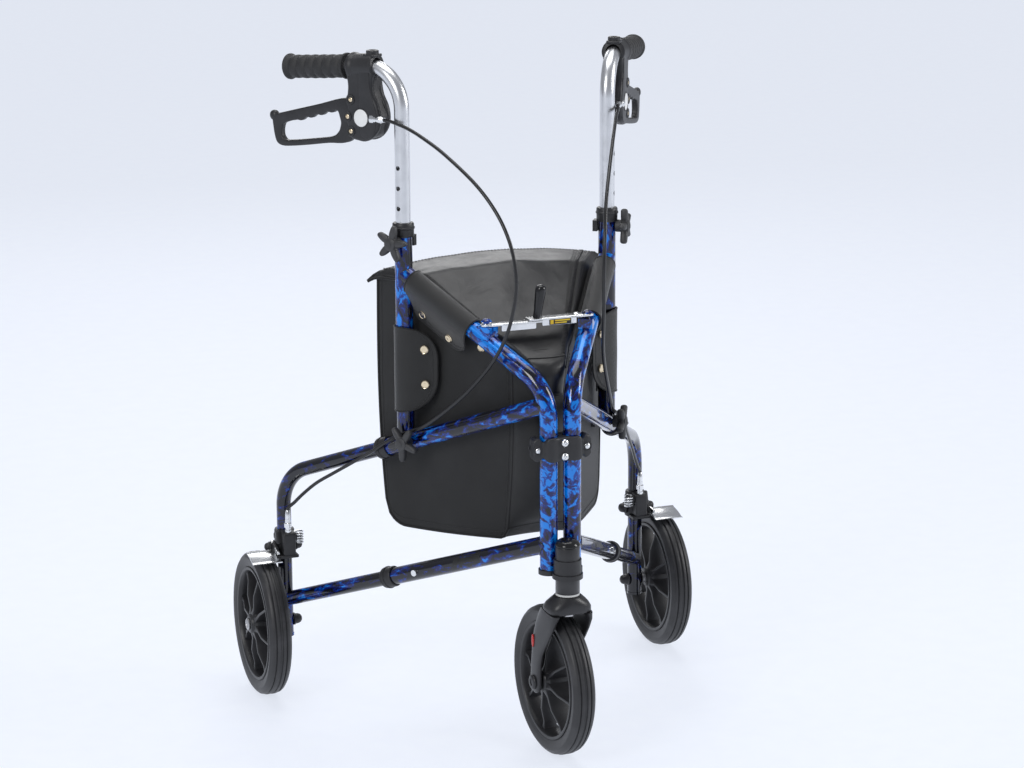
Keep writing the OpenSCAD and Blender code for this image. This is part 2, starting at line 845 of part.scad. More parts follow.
// Lid that lies over the bag's open top
module bag_lid() {
  thick = 2;
  color([0.1, 0.1, 0.12]) placed() difference() {
    below_lid(-gap - thick) translate([0, 0, bag_low]) linear_extrude(400) bag_plan(0);
    below_lid(-gap) translate([0, 0, bag_low - over]) linear_extrude(400) bag_plan(-4);
  }
}

// Fabric sleeves that hang the bag on a diagonal and on an upright
module bag_sleeve(s) {
  color([0.07, 0.07, 0.09]) side(s) {
    in_plane() sleeve_ring([122, diagonal_at(122)], [206, diagonal_at(206)]);
    in_plane() sleeve_ring([upright_r, 412], [upright_r, 522]);
  }
}

module sleeve_ring(a, b) {
  d = unit(b - a);
  difference() {
    rod(a, b, main_r + 1.6);
    rod(a - d, b + d, main_r + 0.2);
  }
}

//////////////////////////////////////////////////////////////////////
// Brake cables

cable_r = 2.25;
// Route from the housing to the adjuster: outward, rearward and up, in the side's frame
cable_route = [
  [9.5, 245, 781], [11.5, 234, 781], [14, 223, 780], [16, 200, 775], [19, 174, 766], [23, 138, 750],
  [28, 88, 720], [31, 55, 690], [34, 34, 660], [35, 24, 630], [35, 22, 600],
  [34, 28, 570], [31, 40, 540], [27, 59, 510], [24, 85, 480], [22, 116, 450],
  [19, 150, 423], [15, 182, 401], [14.5, 197, 394], [14.5, 212, 388], [15.5, 228, 380],
  [17.5, 246, 369], [17.5, 262, 358], [15, 285, 344], [13, 310, 329], [11, 337, 313],
  [9, 365, 296], [8, 388, 278], [8.5, 404, 263]
];

function ring_of(p, dir, r, sides) =
  let (u = unit(cross(dir, [1, 0, 0.01])), v = unit(cross(dir, u)))
  [for (i = [0 : sides - 1]) p + r * (u * cos(i * 360 / sides) + v * sin(i * 360 / sides))];

// A smooth point between four neighbouring route points
function between(a, b, c, d, t) =
  0.5 * (2 * b + (c - a) * t + (2 * a - 5 * b + 4 * c - d) * t * t
    + (3 * b - a - 3 * c + d) * t * t * t);

function smooth_route(p, steps) =
  let (n = len(p))
  concat(
    [for (i = [0 : n - 2], k = [0 : steps - 1])
      between(p[max(i - 1, 0)], p[i], p[i + 1], p[min(i + 2, n - 1)], k / steps)],
    [p[n - 1]]);

module swept_cord(route, r, sides) {
  n = len(route);
  rings = [for (i = [0 : n - 1])
    ring_of(route[i], unit(route[min(i + 1, n - 1)] - route[max(i - 1, 0)]), r, sides)];
  points = [for (ring = rings) for (p = ring) p];
  walls = [for (i = [0 : n - 2], k = [0 : sides - 1]) let (m = (k + 1) % sides)
    [i * sides + k, (i + 1) * sides + k, (i + 1) * sides + m, i * sides + m]];
  first = [for (k = [0 : sides - 1]) k];
  last = [for (k = [sides - 1 : -1 : 0]) (n - 1) * sides + k];
  polyhedron(points, concat(walls, [first], [last]));
}

// The last points stand over the adjuster on the brake bracket
module brake_cable(s) {
  low = leg_point([0, -18, 239.3]);
  tail = [leg_point([0, -18, 252]), low];
  color([0.05, 0.05, 0.05]) side(s)
    swept_cord(smooth_route(concat(cable_route, tail), 2), cable_r, 8);
}

// A point given at the leg, along the axle and rearward, in the side's frame
function leg_point(p) = [
  p.x * cos(half_angle) - p.y * sin(half_angle),
  leg_r + p.x * sin(half_angle) + p.y * cos(half_angle), p.z];

//////////////////////////////////////////////////////////////////////

hinge_clamp_front();
hinge_clamp_rear();
clamp_screws();
stem_tube();
stem_cap();
lower_bracket();
stem_bushes();
fork();
fork_reflectors();
swivel_stem();
front_axle();
front_tyre();
front_rim();
link_bar_left();
link_bar_right();
link_lever();
bag_body();
bag_lid();
front_tube(left);  // front_tube_left
upright(left);  // upright_left
middle_tube(left);  // middle_tube_left
lower_tube(left);  // lower_tube_left
rear_leg(left);  // rear_leg_left
tube_collars(left);  // tube_collars_left
snap_button(left);  // snap_button_left
brake_bracket(left);  // brake_bracket_left
brake_arm(left);  // brake_arm_left
star_knob_upper(left);  // star_knob_upper_left
star_knob_lower(left);  // star_knob_lower_left
knob_bolts(left);  // knob_bolts_left
bag_sleeve(left);  // bag_sleeve_left
brake_cable(left);  // brake_cable_left
handle_tube(left);  // handle_tube_left
brake_housing(left);  // brake_housing_left
grip(left);  // grip_left
brake_lever(left);  // brake_lever_left
rear_axle(left);  // rear_axle_left
rear_tyre(left);  // rear_tyre_left
rear_rim(left);  // rear_rim_left
front_tube(right);  // front_tube_right
upright(right);  // upright_right
middle_tube(right);  // middle_tube_right
lower_tube(right);  // lower_tube_right
rear_leg(right);  // rear_leg_right
tube_collars(right);  // tube_collars_right
snap_button(right);  // snap_button_right
brake_bracket(right);  // brake_bracket_right
brake_arm(right);  // brake_arm_right
star_knob_upper(right);  // star_knob_upper_right
star_knob_lower(right);  // star_knob_lower_right
knob_bolts(right);  // knob_bolts_right
bag_sleeve(right);  // bag_sleeve_right
brake_cable(right);  // brake_cable_right
handle_tube(right);  // handle_tube_right
brake_housing(right);  // brake_housing_right
grip(right);  // grip_right
brake_lever(right);  // brake_lever_right
rear_axle(right);  // rear_axle_right
rear_tyre(right);  // rear_tyre_right
rear_rim(right);  // rear_rim_right
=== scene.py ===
# %% [markdown]
# # A folding three-wheel walker, finished around its mechanical model
#
# The walker is a real folding machine: two side frames of painted tube swing about a plastic
# clamp at the front, a two-plate link holds them open, and a fabric bag hangs between them.
# The mechanical model already holds every tube, wheel, axle and pivot at its true size. This
# file gives those parts their finish, and makes what a lathe or a tube bender can't: moulded
# brake housings, spoked wheels, knobs, and the sewn bag.

import json
import math
import random

import bmesh
import bpy
from mathutils import Matrix, Vector
from mathutils.noise import noise as smooth_noise

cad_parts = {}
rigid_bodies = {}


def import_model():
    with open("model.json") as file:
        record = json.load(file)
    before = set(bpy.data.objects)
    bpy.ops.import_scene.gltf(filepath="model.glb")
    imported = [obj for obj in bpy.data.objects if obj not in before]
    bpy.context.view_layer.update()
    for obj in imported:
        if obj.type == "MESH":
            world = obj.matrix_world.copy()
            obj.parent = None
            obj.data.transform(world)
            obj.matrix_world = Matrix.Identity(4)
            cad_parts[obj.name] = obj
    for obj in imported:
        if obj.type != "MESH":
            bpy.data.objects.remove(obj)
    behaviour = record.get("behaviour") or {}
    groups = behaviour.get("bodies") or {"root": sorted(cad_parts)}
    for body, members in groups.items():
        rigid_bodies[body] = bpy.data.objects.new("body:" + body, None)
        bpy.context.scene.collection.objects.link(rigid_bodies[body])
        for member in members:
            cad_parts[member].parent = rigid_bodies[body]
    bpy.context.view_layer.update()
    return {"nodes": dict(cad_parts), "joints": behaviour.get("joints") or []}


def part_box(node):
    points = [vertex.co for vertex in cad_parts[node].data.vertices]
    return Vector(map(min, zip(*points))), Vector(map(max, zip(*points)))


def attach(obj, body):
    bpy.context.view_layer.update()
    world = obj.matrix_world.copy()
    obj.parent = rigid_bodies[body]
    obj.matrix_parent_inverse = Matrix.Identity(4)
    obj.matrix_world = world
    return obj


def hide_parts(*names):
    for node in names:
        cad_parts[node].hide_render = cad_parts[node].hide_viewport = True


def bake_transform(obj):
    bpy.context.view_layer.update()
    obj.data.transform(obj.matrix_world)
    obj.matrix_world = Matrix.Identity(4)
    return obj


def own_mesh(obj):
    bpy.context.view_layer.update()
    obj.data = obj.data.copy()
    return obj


for startup_thing in list(bpy.data.objects):
    bpy.data.objects.remove(startup_thing)
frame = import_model()
nodes = frame["nodes"]
joints = {joint["name"]: joint for joint in frame["joints"]}
MM = 0.001
TO_METRES = Matrix.Scale(MM, 4)
LEFT, RIGHT = -1, 1
SIDES = ((LEFT, "left"), (RIGHT, "right"))

# %% [markdown]
# Each half of the walker is flat: its tubes lie in one upright plane that turns about the
# front hinge. Places are therefore easiest to say in that plane, as outward, back and up.
# One function turns such a place into the shared frame, and takes the opening angle and the
# hinge from the joints, so the finish follows the mechanical model by itself.

# %% The plane of a side frame
hinge = Vector(joints["fold_right"]["pos_m"]) / MM
outward_axis = joints["upper_knob_turn_right"]["axis"]
OPEN_ANGLE = math.atan2(-outward_axis[1], outward_axis[0])
COS_OPEN, SIN_OPEN = math.cos(OPEN_ANGLE), math.sin(OPEN_ANGLE)


def at(side, out, back, up):
    """A place in a side frame's plane, in millimetres, as a point in metres."""
    x = hinge.x + back * SIN_OPEN + out * COS_OPEN
    y = hinge.y + back * COS_OPEN - out * SIN_OPEN
    return Vector((side * x, y, up)) * MM


def out_way(side):
    return Vector((side * COS_OPEN, -SIN_OPEN, 0))


def back_way(side):
    return Vector((side * SIN_OPEN, COS_OPEN, 0))


UP_WAY = Vector((0, 0, 1))


def plane_matrix(side, out, back, up):
    """Puts a mesh drawn as x outward, y back, z up, in millimetres, into a side's plane."""
    turn = Matrix((out_way(side), back_way(side), UP_WAY)).transposed().to_4x4()
    return Matrix.Translation(at(side, out, back, up)) @ turn @ TO_METRES


def at_leg(side, out, back, up):
    """A place beside a rear leg, measured along the wheel's axle and straight back."""
    wheel = Vector(joints["rear_wheel_spin_" + ("left" if side < 0 else "right")]["pos_m"])
    leg_x = abs(wheel.x) / MM - WHEEL_OUT
    return Vector((side * (leg_x + out), wheel.y / MM + back, up)) * MM


def leg_matrix(side, out, back, up):
    turn = Matrix.Diagonal((side, 1, 1, 1))
    return Matrix.Translation(at_leg(side, out, back, up)) @ turn @ TO_METRES


WHEEL_OUT = 33
LEG_BACK = 430.5
UPRIGHT_BACK = 223


def rises(name, back_a, back_b):
    """Height of a straight tube's axis at any distance back, from two known points."""
    (za, zb) = name
    slope = (zb - za) / (back_b - back_a)
    return lambda back: za + slope * (back - back_a)


middle_up = rises((453.6, 371.2), 0, UPRIGHT_BACK)
lower_up = rises((276.8, 123.5), 0, LEG_BACK)
diagonal_up = rises((470.5, 590.0), 0, UPRIGHT_BACK)
handle_up = rises((849.5, 833.3), UPRIGHT_BACK, 405)
print("half opening", round(math.degrees(OPEN_ANGLE), 2), "hinge", [round(v, 1) for v in hinge])

# %% [markdown]
# ## Camera and light
#
# The walker is seen from slightly above and from its own front right, through a long lens
# that keeps the uprights parallel. The light is what a product studio uses: one broad soft
# box from each side, one from above, and a pale floor that runs on into the background.

# %% Camera
CAMERA_AZIMUTH, CAMERA_ELEVATION = math.radians(-20.26), math.radians(14.09)
CAMERA_FAR, CAMERA_ROLL = 4.0, math.radians(-0.28)
look_dir = Vector((-math.sin(CAMERA_AZIMUTH) * math.cos(CAMERA_ELEVATION),
                   math.cos(CAMERA_AZIMUTH) * math.cos(CAMERA_ELEVATION),
                   -math.sin(CAMERA_ELEVATION)))
look_right = Vector((math.cos(CAMERA_AZIMUTH), math.sin(CAMERA_AZIMUTH), 0))
look_up = look_right.cross(look_dir)
target = Vector((0, 0.2 + hinge.y * MM, 0.4311)) + look_right * 0.0106
camera_data = bpy.data.cameras.new("camera")
camera_data.sensor_width = 36
camera_data.lens = 110.09
camera = bpy.data.objects.new("camera", camera_data)
bpy.context.scene.collection.objects.link(camera)
camera_turn = Matrix((look_right, look_up, -look_dir)).transposed().to_4x4()
camera.matrix_world = (Matrix.Translation(target - look_dir * CAMERA_FAR) @ camera_turn
                       @ Matrix.Rotation(CAMERA_ROLL, 4, "Z"))
bpy.context.scene.camera = camera
print("camera", [round(v, 3) for v in camera.location])


# %% Soft boxes and the pale surround
def soft_box(name, place, size, power, aim=(0, 0, 0.45)):
    light = bpy.data.lights.new(name, "AREA")
    light.shape, light.size, light.size_y = "RECTANGLE", size[0], size[1]
    light.energy = power
    lamp = bpy.data.objects.new(name, light)
    bpy.context.scene.collection.objects.link(lamp)
    lamp.location = place
    lamp.rotation_euler = (Vector(aim) - Vector(place)).to_track_quat("-Z", "Y").to_euler()
    return lamp


soft_box("key_box", (-2.6, -1.9, 2.3), (1.0, 1.6), 44)
soft_box("fill_box", (2.8, -1.2, 1.7), (1.0, 1.6), 42)
soft_box("top_box", (0, 0.3, 3.2), (2.4, 1.8), 40)
soft_box("rear_box", (0.6, 2.9, 1.9), (1.8, 1.2), 22)
world = bpy.data.worlds.new("surround")
bpy.context.scene.world = world
world.use_nodes = True
world.node_tree.nodes["Background"].inputs["Color"].default_value = (0.84, 0.87, 0.95, 1)
world.node_tree.nodes["Background"].inputs["Strength"].default_value = 0.36
bpy.context.scene.view_settings.view_transform = "Standard"

# %% [markdown]
# ## Finishes
#
# Every finish is a small recipe of nodes: something that varies over the surface, such as
# noise or a weave, drives colour, roughness and height. Writing that as nodes and links hides
# the idea, so two helpers let it be written as sums. A Wire is one output; arithmetic on it
# adds the Math node. A Finish is one material, and its `add` makes any other node.


# %% Shader arithmetic
class Wire:
    """One output in a finish's node tree. Arithmetic on wires adds Math nodes."""

    def __init__(self, finish, socket):
        self.finish, self.socket = finish, socket

    def math(self, operation, *values, clamp=False):
        node = self.finish.add("ShaderNodeMath", values,
                               operation=operation, use_clamp=clamp)
        return Wire(self.finish, node.outputs[0])

    def __add__(self, other):
        return self.math("ADD", self, other)

    def __sub__(self, other):
        return self.math("SUBTRACT", self, other)

    def __rsub__(self, other):
        return self.math("SUBTRACT", other, self)

    def __mul__(self, other):
        return self.math("MULTIPLY", self, other)

    def __truediv__(self, other):
        return self.math("DIVIDE", self, other)

    def __pow__(self, other):
        return self.math("POWER", self, other)

    __radd__, __rmul__ = __add__, __mul__

    def sine(self):
        return self.math("SINE", self)

    def size(self):
        return self.math("ABSOLUTE", self)

    def above(self, edge):
        return self.math("GREATER_THAN", self, edge)

    def step(self, low, high):
        """0 below low, 1 above high, smooth between."""
        node = self.finish.add("ShaderNodeMapRange", (self, low, high),
                               interpolation_type="SMOOTHSTEP")
        return Wire(self.finish, node.outputs[0])


class Finish:
    """One material: a Principled shader, its constants, and the nodes that vary it."""

    def __init__(self, name, **constants):
        self.material = bpy.data.materials.new(name)
        self.material.use_nodes = True
        self.tree = self.material.node_tree
        self.shader = self.tree.nodes["Principled BSDF"]
        for words, value in constants.items():
            socket = self.shader.inputs[words.replace("_", " ").title().replace("Ior", "IOR")]
            wide = socket.type == "RGBA" and len(value) == 3
            socket.default_value = (*value, 1) if wide else value
        self.material.diffuse_color = self.shader.inputs["Base Color"].default_value

    def add(self, kind, values=(), stops=None, **settings):
        node = self.tree.nodes.new(kind)
        for name, value in settings.items():
            setattr(node, name, value)
        if stops:
            ramp = node.color_ramp
            while len(ramp.elements) < len(stops):
                ramp.elements.new(1)
            for element, (position, colour) in zip(ramp.elements, stops):
                element.position = position
                element.color = (*colour, 1) if len(colour) == 3 else colour
        pairs = values.items() if isinstance(values, dict) else enumerate(values)
        for name, value in pairs:
            socket = node.inputs[name]
            if isinstance(value, Wire):
                self.tree.links.new(value.socket, socket)
            else:
                wide = socket.type == "RGBA" and len(value) == 3
                socket.default_value = (*value, 1) if wide else value
        return node

    def place(self, which="Object"):
        """The point on the surface, in metres, from Object coordinates or a UV map."""
        return Wire(self, self.add("ShaderNodeTexCoord").outputs[which])

    def parts(self, point):
        node = self.add("ShaderNodeSeparateXYZ", (point,))
        return [Wire(self, node.outputs[i]) for i in range(3)]

    def joined(self, *values):
        return Wire(self, self.add("ShaderNodeCombineXYZ", values).outputs[0])

    def vector(self, operation, *values):
        node = self.add("ShaderNodeVectorMath", (), operation=operation)
        for socket, value in zip(node.inputs, values):
            if isinstance(value, Wire):
                self.tree.links.new(value.socket, socket)
            else:
                socket.default_value = value
        return Wire(self, node.outputs["Value" if operation == "DOT_PRODUCT" else "Vector"])

    def scaled(self, point, amount):
        node = self.add("ShaderNodeVectorMath", {"Vector": point}, operation="SCALE")
        if isinstance(amount, Wire):
            self.tree.links.new(amount.socket, node.inputs["Scale"])
        else:
            node.inputs["Scale"].default_value = amount
        return Wire(self, node.outputs["Vector"])

    def noise(self, point, per_metre, detail=3, rough=0.5, warp=0):
        node = self.add("ShaderNodeTexNoise", {"Vector": point, "Scale": per_metre,
                        "Detail": detail, "Roughness": rough, "Distortion": warp})
        return Wire(self, node.outputs["Fac"])

    def cells(self, point, per_metre, feature="F1", output="Distance"):
        node = self.add("ShaderNodeTexVoronoi", {"Vector": point, "Scale": per_metre},
                        feature=feature)
        return Wire(self, node.outputs[output])

    def ramp(self, value, *stops):
        return Wire(self, self.add("ShaderNodeValToRGB", (value,), stops).outputs["Color"])

    def mix(self, mask, first, second):
        node = self.add("ShaderNodeMix", {"Factor": mask}, data_type="RGBA")
        for name, value in (("A", first), ("B", second)):
            socket = next(s for s in node.inputs if s.name == name and s.type == "RGBA")
            if isinstance(value, Wire):
                self.tree.links.new(value.socket, socket)
            else:
                socket.default_value = (*value, 1)
        return Wire(self, next(s for s in node.outputs if s.type == "RGBA"))

    def feed(self, name, wire):
        self.tree.links.new(wire.socket, self.shader.inputs[name])
        return self

    def height(self, wire, millimetres, strength=1.0):
        """Raises the surface by a height that the wire gives from 0 to 1."""
        node = self.add("ShaderNodeBump", {"Height": wire, "Strength": strength,
                                           "Distance": millimetres * MM})
        return self.feed("Normal", Wire(self, node.outputs["Normal"]))


print("shader helpers ready")

# %% [markdown]
# ### Marbled paint
#
# The frame is film-dipped: torn patches of bright blue lie over black, under a thick clear
# coat. The patches run along each tube, because the film stretches as the tube is pushed
# through it. A noise threshold gives torn edges, and squeezing space along the tube's
# direction before the noise is read makes the patches long. Sharp steps in the ramp keep the
# edges crisp; a soft ramp would look like cloud.

# %% Marbled paint
BLACK_BLUE = (0.001, 0.0015, 0.006)
DEEP_BLUE = (0.001, 0.006, 0.10)
MID_BLUE = (0.0, 0.035, 0.28)
BRIGHT_BLUE = (0.0, 0.21, 0.74)


def along(finish, point, direction, stretch):
    """Space squeezed along a direction, so that a pattern in it comes out long."""
    reach = finish.vector("DOT_PRODUCT", point, direction)
    way = finish.add("ShaderNodeCombineXYZ", tuple(direction))
    shift = finish.scaled(Wire(finish, way.outputs[0]), reach * (1 / stretch - 1))
    return finish.vector("ADD", point, shift)


def marbled_paint(name, direction, blue=0.5):
    """Torn blue film over black; blue says how much of the tube is covered."""
    paint = Finish(name, roughness=0.2, coat_weight=0.8, coat_roughness=0.03,
                   specular_ior_level=0.25)
    point = along(paint, paint.place(), direction, 2.2)
    torn = paint.noise(point, 120, detail=5, rough=0.62, warp=0.6)
    large = paint.noise(point, 24, detail=2)
    cover = torn * 0.72 + large * 0.28 + (blue - 0.5) * 0.16
    colour = paint.ramp(cover, (0.0, BLACK_BLUE), (0.485, BLACK_BLUE), (0.50, DEEP_BLUE),
                        (0.535, DEEP_BLUE), (0.545, MID_BLUE), (0.575, MID_BLUE),
                        (0.59, BRIGHT_BLUE))
    paint.feed("Base Color", colour)
    paint.feed("Metallic", cover.step(0.5, 0.6) * 0.2)
    ripple = paint.noise(paint.place(), 160, detail=1)
    paint.feed("Roughness", 0.16 + ripple * 0.10)
    paint.height(ripple, 0.02, 0.25)
    return paint.material


def run(side, back_a, up_a, back_b, up_b):
    """Direction of a tube from its ends, in its side frame's plane."""
    return (at(side, 0, back_b, up_b) - at(side, 0, back_a, up_a)).normalized()


paint_upright = marbled_paint("paint_upright", UP_WAY, 0.55)
paint_for = {}
for side, word in SIDES:
    diagonal = run(side, 0, diagonal_up(0), 200, diagonal_up(200))
    middle = run(side, 0, middle_up(0), 200, middle_up(200))
    lower = run(side, 0, lower_up(0), 200, lower_up(200))
    paint_for["front_tube_" + word] = marbled_paint("paint_diagonal_" + word, diagonal, 0.85)
    paint_for["upright_" + word] = paint_upright
    paint_for["middle_tube_" + word] = marbled_paint("paint_middle_" + word, middle, 0.62)
    paint_for["lower_tube_" + word] = marbled_paint("paint_lower_" + word, lower, 0.36)
    paint_for["rear_leg_" + word] = marbled_paint("paint_leg_" + word, lower, 0.25)
print("paints", len(paint_for))

# %% [markdown]
# ### Metals
#
# Four bare metals: anodised tube for the handles, bright zinc on the link and the brake
# shoe, duller steel on axles and bolts, and nickel on the snap fasteners. Metal is mostly
# reflection, so the recipes vary roughness far more than colour.


# %% Metals
def bare_metal(name, colour, rough, spread, grain, direction=None, dirt=0.0):
    """A metal with drawn-out grain; spread is how much its roughness wanders."""
    metal = Finish(name, base_color=colour, metallic=1.0, roughness=rough)
    point = metal.place()
    if direction is not None:
        point = along(metal, point, direction, 30)
    lines = metal.noise(point, grain, detail=3, rough=0.6)
    cloud = metal.noise(metal.place(), 45, detail=3)
    metal.feed("Roughness", rough + (cloud - 0.5) * spread + (lines - 0.5) * spread)
    shade = tuple(c * 0.72 for c in colour)
    metal.feed("Base Color", metal.mix(cloud.step(0.45, 0.75) * (0.35 + dirt), colour, shade))
    metal.height(lines, 0.01, 0.35)
    return metal.material


anodised = bare_metal("anodised_tube", (0.74, 0.75, 0.77), 0.30, 0.10, 900, UP_WAY)
zinc = bare_metal("bright_zinc", (0.80, 0.81, 0.82), 0.22, 0.16, 700, Vector((1, 0, 0)))
steel = bare_metal("dull_steel", (0.56, 0.56, 0.57), 0.36, 0.2, 1200, None, 0.2)
nickel = bare_metal("nickel_snap", (0.78, 0.66, 0.47), 0.2, 0.12, 1500)
print("metals ready")

# %% [markdown]
# ### Moulded plastics, rubber and vinyl
#
# Black parts differ by their surface. Moulded nylon has a fine spark-eroded grain, the fork
# is smoother, the knobs are greyer and dusty on their edges, tyre rubber is dull with a
# polished band, and the grips are soft. One recipe with different numbers covers them, since
# what changes is only grain, gloss and the grey of the worn spots.


# %% Black plastics and rubbers
def moulded(name, colour, rough, grain_per_metre, grain_mm, worn=0.35, gloss=0.5):
    plastic = Finish(name, base_color=colour, roughness=rough, specular_ior_level=gloss)
    point = plastic.place()
    grain = plastic.cells(point, grain_per_metre)
    cloud = plastic.noise(point, 38, detail=4, rough=0.6)
    speck = plastic.noise(point, 420, detail=2)
    lighter = tuple(min(1, c * 1.9 + 0.012) for c in colour)
    plastic.feed("Base Color", plastic.mix(cloud.step(0.42, 0.78) * worn, colour, lighter))
    plastic.feed("Roughness", rough - 0.08 + cloud * 0.14 + speck * 0.05)
    plastic.height(grain, grain_mm, 0.5)
    return plastic.material


nylon_black = moulded("moulded_nylon", (0.016, 0.016, 0.018), 0.42, 1500, 0.05)
fork_black = moulded("fork_plastic", (0.014, 0.014, 0.016), 0.34, 1100, 0.04)
knob_grey = moulded("knob_plastic", (0.036, 0.036, 0.038), 0.46, 1400, 0.05)
rim_black = moulded("rim_plastic", (0.017, 0.017, 0.019), 0.38, 900, 0.04)
tyre_rubber = moulded("tyre_rubber", (0.024, 0.024, 0.026), 0.44, 700, 0.05, 0.6)
grip_rubber = moulded("grip_rubber", (0.017, 0.017, 0.018), 0.62, 1300, 0.09)
dipped_vinyl = moulded("dipped_vinyl", (0.008, 0.008, 0.009), 0.14, 300, 0.02, 0.2)
cable_jacket = moulded("cable_jacket", (0.010, 0.010, 0.011), 0.28, 800, 0.02, 0.2)
stem_paint = moulded("stem_powder_coat", (0.020, 0.020, 0.022), 0.30, 500, 0.04)
inset_red = moulded("inset_red", (0.42, 0.012, 0.01), 0.24, 500, 0.02, 0.2)
bush_white = moulded("bush_plastic", (0.62, 0.62, 0.60), 0.4, 900, 0.03, 0.1)
badge_white = moulded("badge_white", (0.80, 0.80, 0.79), 0.35, 900, 0.02, 0.08)
print("plastics ready")

# %% [markdown]
# ### Bag cloth and vinyl
#
# The side panels are a dense nylon duck with a visible weave; the lid is a shiny coated
# cloth. The weave is a plain one, over and under, so its height is the product of two waves
# that swap places every thread. It reads a UV map in metres, which every sewn piece carries,
# so the threads run with the panel and not with the room.


# %% Cloths
def woven(name, colour, light, rough, threads_per_metre, gloss=0.3):
    cloth = Finish(name, base_color=colour, roughness=rough, specular_ior_level=gloss,
                   sheen_weight=0.25, sheen_roughness=0.5)
    across, down, _ = cloth.parts(cloth.place("UV"))
    warp = (across * (threads_per_metre * math.pi)).sine()
    weft = (down * (threads_per_metre * math.pi)).sine()
    weave = warp * weft * 0.5 + 0.5
    cloud = cloth.noise(cloth.place(), 16, detail=4, rough=0.6)
    lint = cloth.noise(cloth.place(), 900, detail=1)
    shade = cloud.step(0.35, 0.75) * 0.6 + weave * 0.25 + lint * 0.15
    cloth.feed("Base Color", cloth.mix(shade, colour, light))
    cloth.feed("Roughness", rough - 0.06 + weave * 0.12)
    cloth.height(weave * 0.8 + lint * 0.2, 0.25, 0.6)
    return cloth.material


def coated(name, colour, rough):
    """Shiny coated cloth: small pores, broad soft creases from handling, and a painted highlight
    that lightens the raised crease ridges.
    """
    vinyl = Finish(name, base_color=colour, roughness=rough, specular_ior_level=0.55)
    point = vinyl.place()
    pores = vinyl.cells(point, 900)
    crease = vinyl.noise(point, 26, detail=4, rough=0.55, warp=0.8)
    fine = vinyl.noise(point, 110, detail=3)
    vinyl.feed("Roughness", rough - 0.05 + fine * 0.14)
    # Painted highlight: the colour is lighter where the creases stand highest, standing in for the
    # gloss on the crease ridges.
    lighter = tuple(c * 1.7 + 0.004 for c in colour)
    vinyl.feed("Base Color", vinyl.mix(crease.step(0.4, 0.8) * 0.5, colour, lighter))
    vinyl.height(crease * 0.86 + pores * 0.05 + fine * 0.09, 2.2, 0.5)
    return vinyl.material


duck = woven("nylon_duck", (0.009, 0.009, 0.009), (0.019, 0.019, 0.019), 0.66, 1400)
duck_smooth = woven("sleeve_cloth", (0.007, 0.007, 0.007), (0.013, 0.013, 0.013), 0.5, 2200, 0.4)
tape = woven("binding_tape", (0.004, 0.004, 0.004), (0.009, 0.009, 0.009), 0.6, 3000)
vinyl_black = coated("lid_vinyl", (0.008, 0.008, 0.009), 0.38)
vinyl_grey = coated("bag_floor", (0.20, 0.20, 0.205), 0.5)
label_yellow = moulded("label_yellow", (0.72, 0.47, 0.02), 0.4, 2000, 0.01)
label_black = moulded("label_black", (0.012, 0.012, 0.012), 0.4, 2000, 0.01)
thread_black = moulded("sewing_thread", (0.035, 0.035, 0.036), 0.6, 4000, 0.02)
print("cloths ready")


# %% Dress the mechanical parts
def finish_node(name, material):
    mesh = nodes[name].data
    mesh.materials.clear()
    mesh.materials.append(material)


SIDE_FINISH = {
    "tube_collars": nylon_black, "snap_button": zinc, "brake_bracket": nylon_black,
    "brake_arm": zinc, "star_knob_upper": knob_grey, "star_knob_lower": knob_grey,
    "knob_bolts": nylon_black, "bag_sleeve": duck_smooth, "brake_cable": cable_jacket,
    "handle_tube": anodised, "brake_housing": nylon_black, "grip": grip_rubber,
    "brake_lever": nylon_black, "rear_axle": steel, "rear_tyre": tyre_rubber,
    "rear_rim": rim_black}
MIDDLE_FINISH = {
    "hinge_clamp_front": nylon_black, "hinge_clamp_rear": nylon_black, "clamp_screws": steel,
    "stem_tube": stem_paint, "stem_cap": dipped_vinyl, "lower_bracket": nylon_black,
    "stem_bushes": bush_white, "fork": fork_black, "fork_reflectors": inset_red,
    "swivel_stem": steel, "front_axle": nylon_black, "front_tyre": tyre_rubber,
    "front_rim": rim_black, "link_bar_left": zinc, "link_bar_right": zinc,
    "link_lever": dipped_vinyl, "bag_body": duck, "bag_lid": vinyl_black}
for name, material in MIDDLE_FINISH.items():
    finish_node(name, material)
for name, material in paint_for.items():
    finish_node(name, material)
for _, word in SIDES:
    for name, material in SIDE_FINISH.items():
        finish_node(name + "_" + word, material)
print("dressed", sum(len(o.data.materials) > 0 for o in nodes.values()), "nodes")


# %% Floor
def pale_floor():
    floor_finish = Finish("floor_paper", base_color=(0.80, 0.83, 0.88), roughness=0.7,
                          emission_strength=0.84)
    fibre = floor_finish.noise(floor_finish.place(), 30, detail=3)
    floor_finish.feed("Base Color",
                      floor_finish.mix(fibre, (0.17, 0.18, 0.20), (0.19, 0.20, 0.22)))
    floor_finish.feed("Emission Color", floor_finish.mix(fibre, (0.79, 0.83, 0.92),
                                                         (0.81, 0.85, 0.94)))
    mesh = bpy.data.meshes.new("floor")
    far = 30
    mesh.from_pydata([(-far, -far, 0), (far, -far, 0), (far, far, 0), (-far, far, 0)], [],
                     [(0, 1, 2, 3)])
    mesh.materials.append(floor_finish.material)
    floor = bpy.data.objects.new("floor", mesh)
    bpy.context.scene.collection.objects.link(floor)


pale_floor()

# %% [markdown]
# ## Tools for shaping
#
# Most pieces are one of four things: turned on an axis, cut from a plate, run along a path, or
# sewn from sheet. Each gets one function that adds to a Shape, which gathers the faces of one
# piece in millimetres. At the end a Shape becomes an object whose mesh already stands in its
# place, as the mechanical parts do, with normals made to face outward.


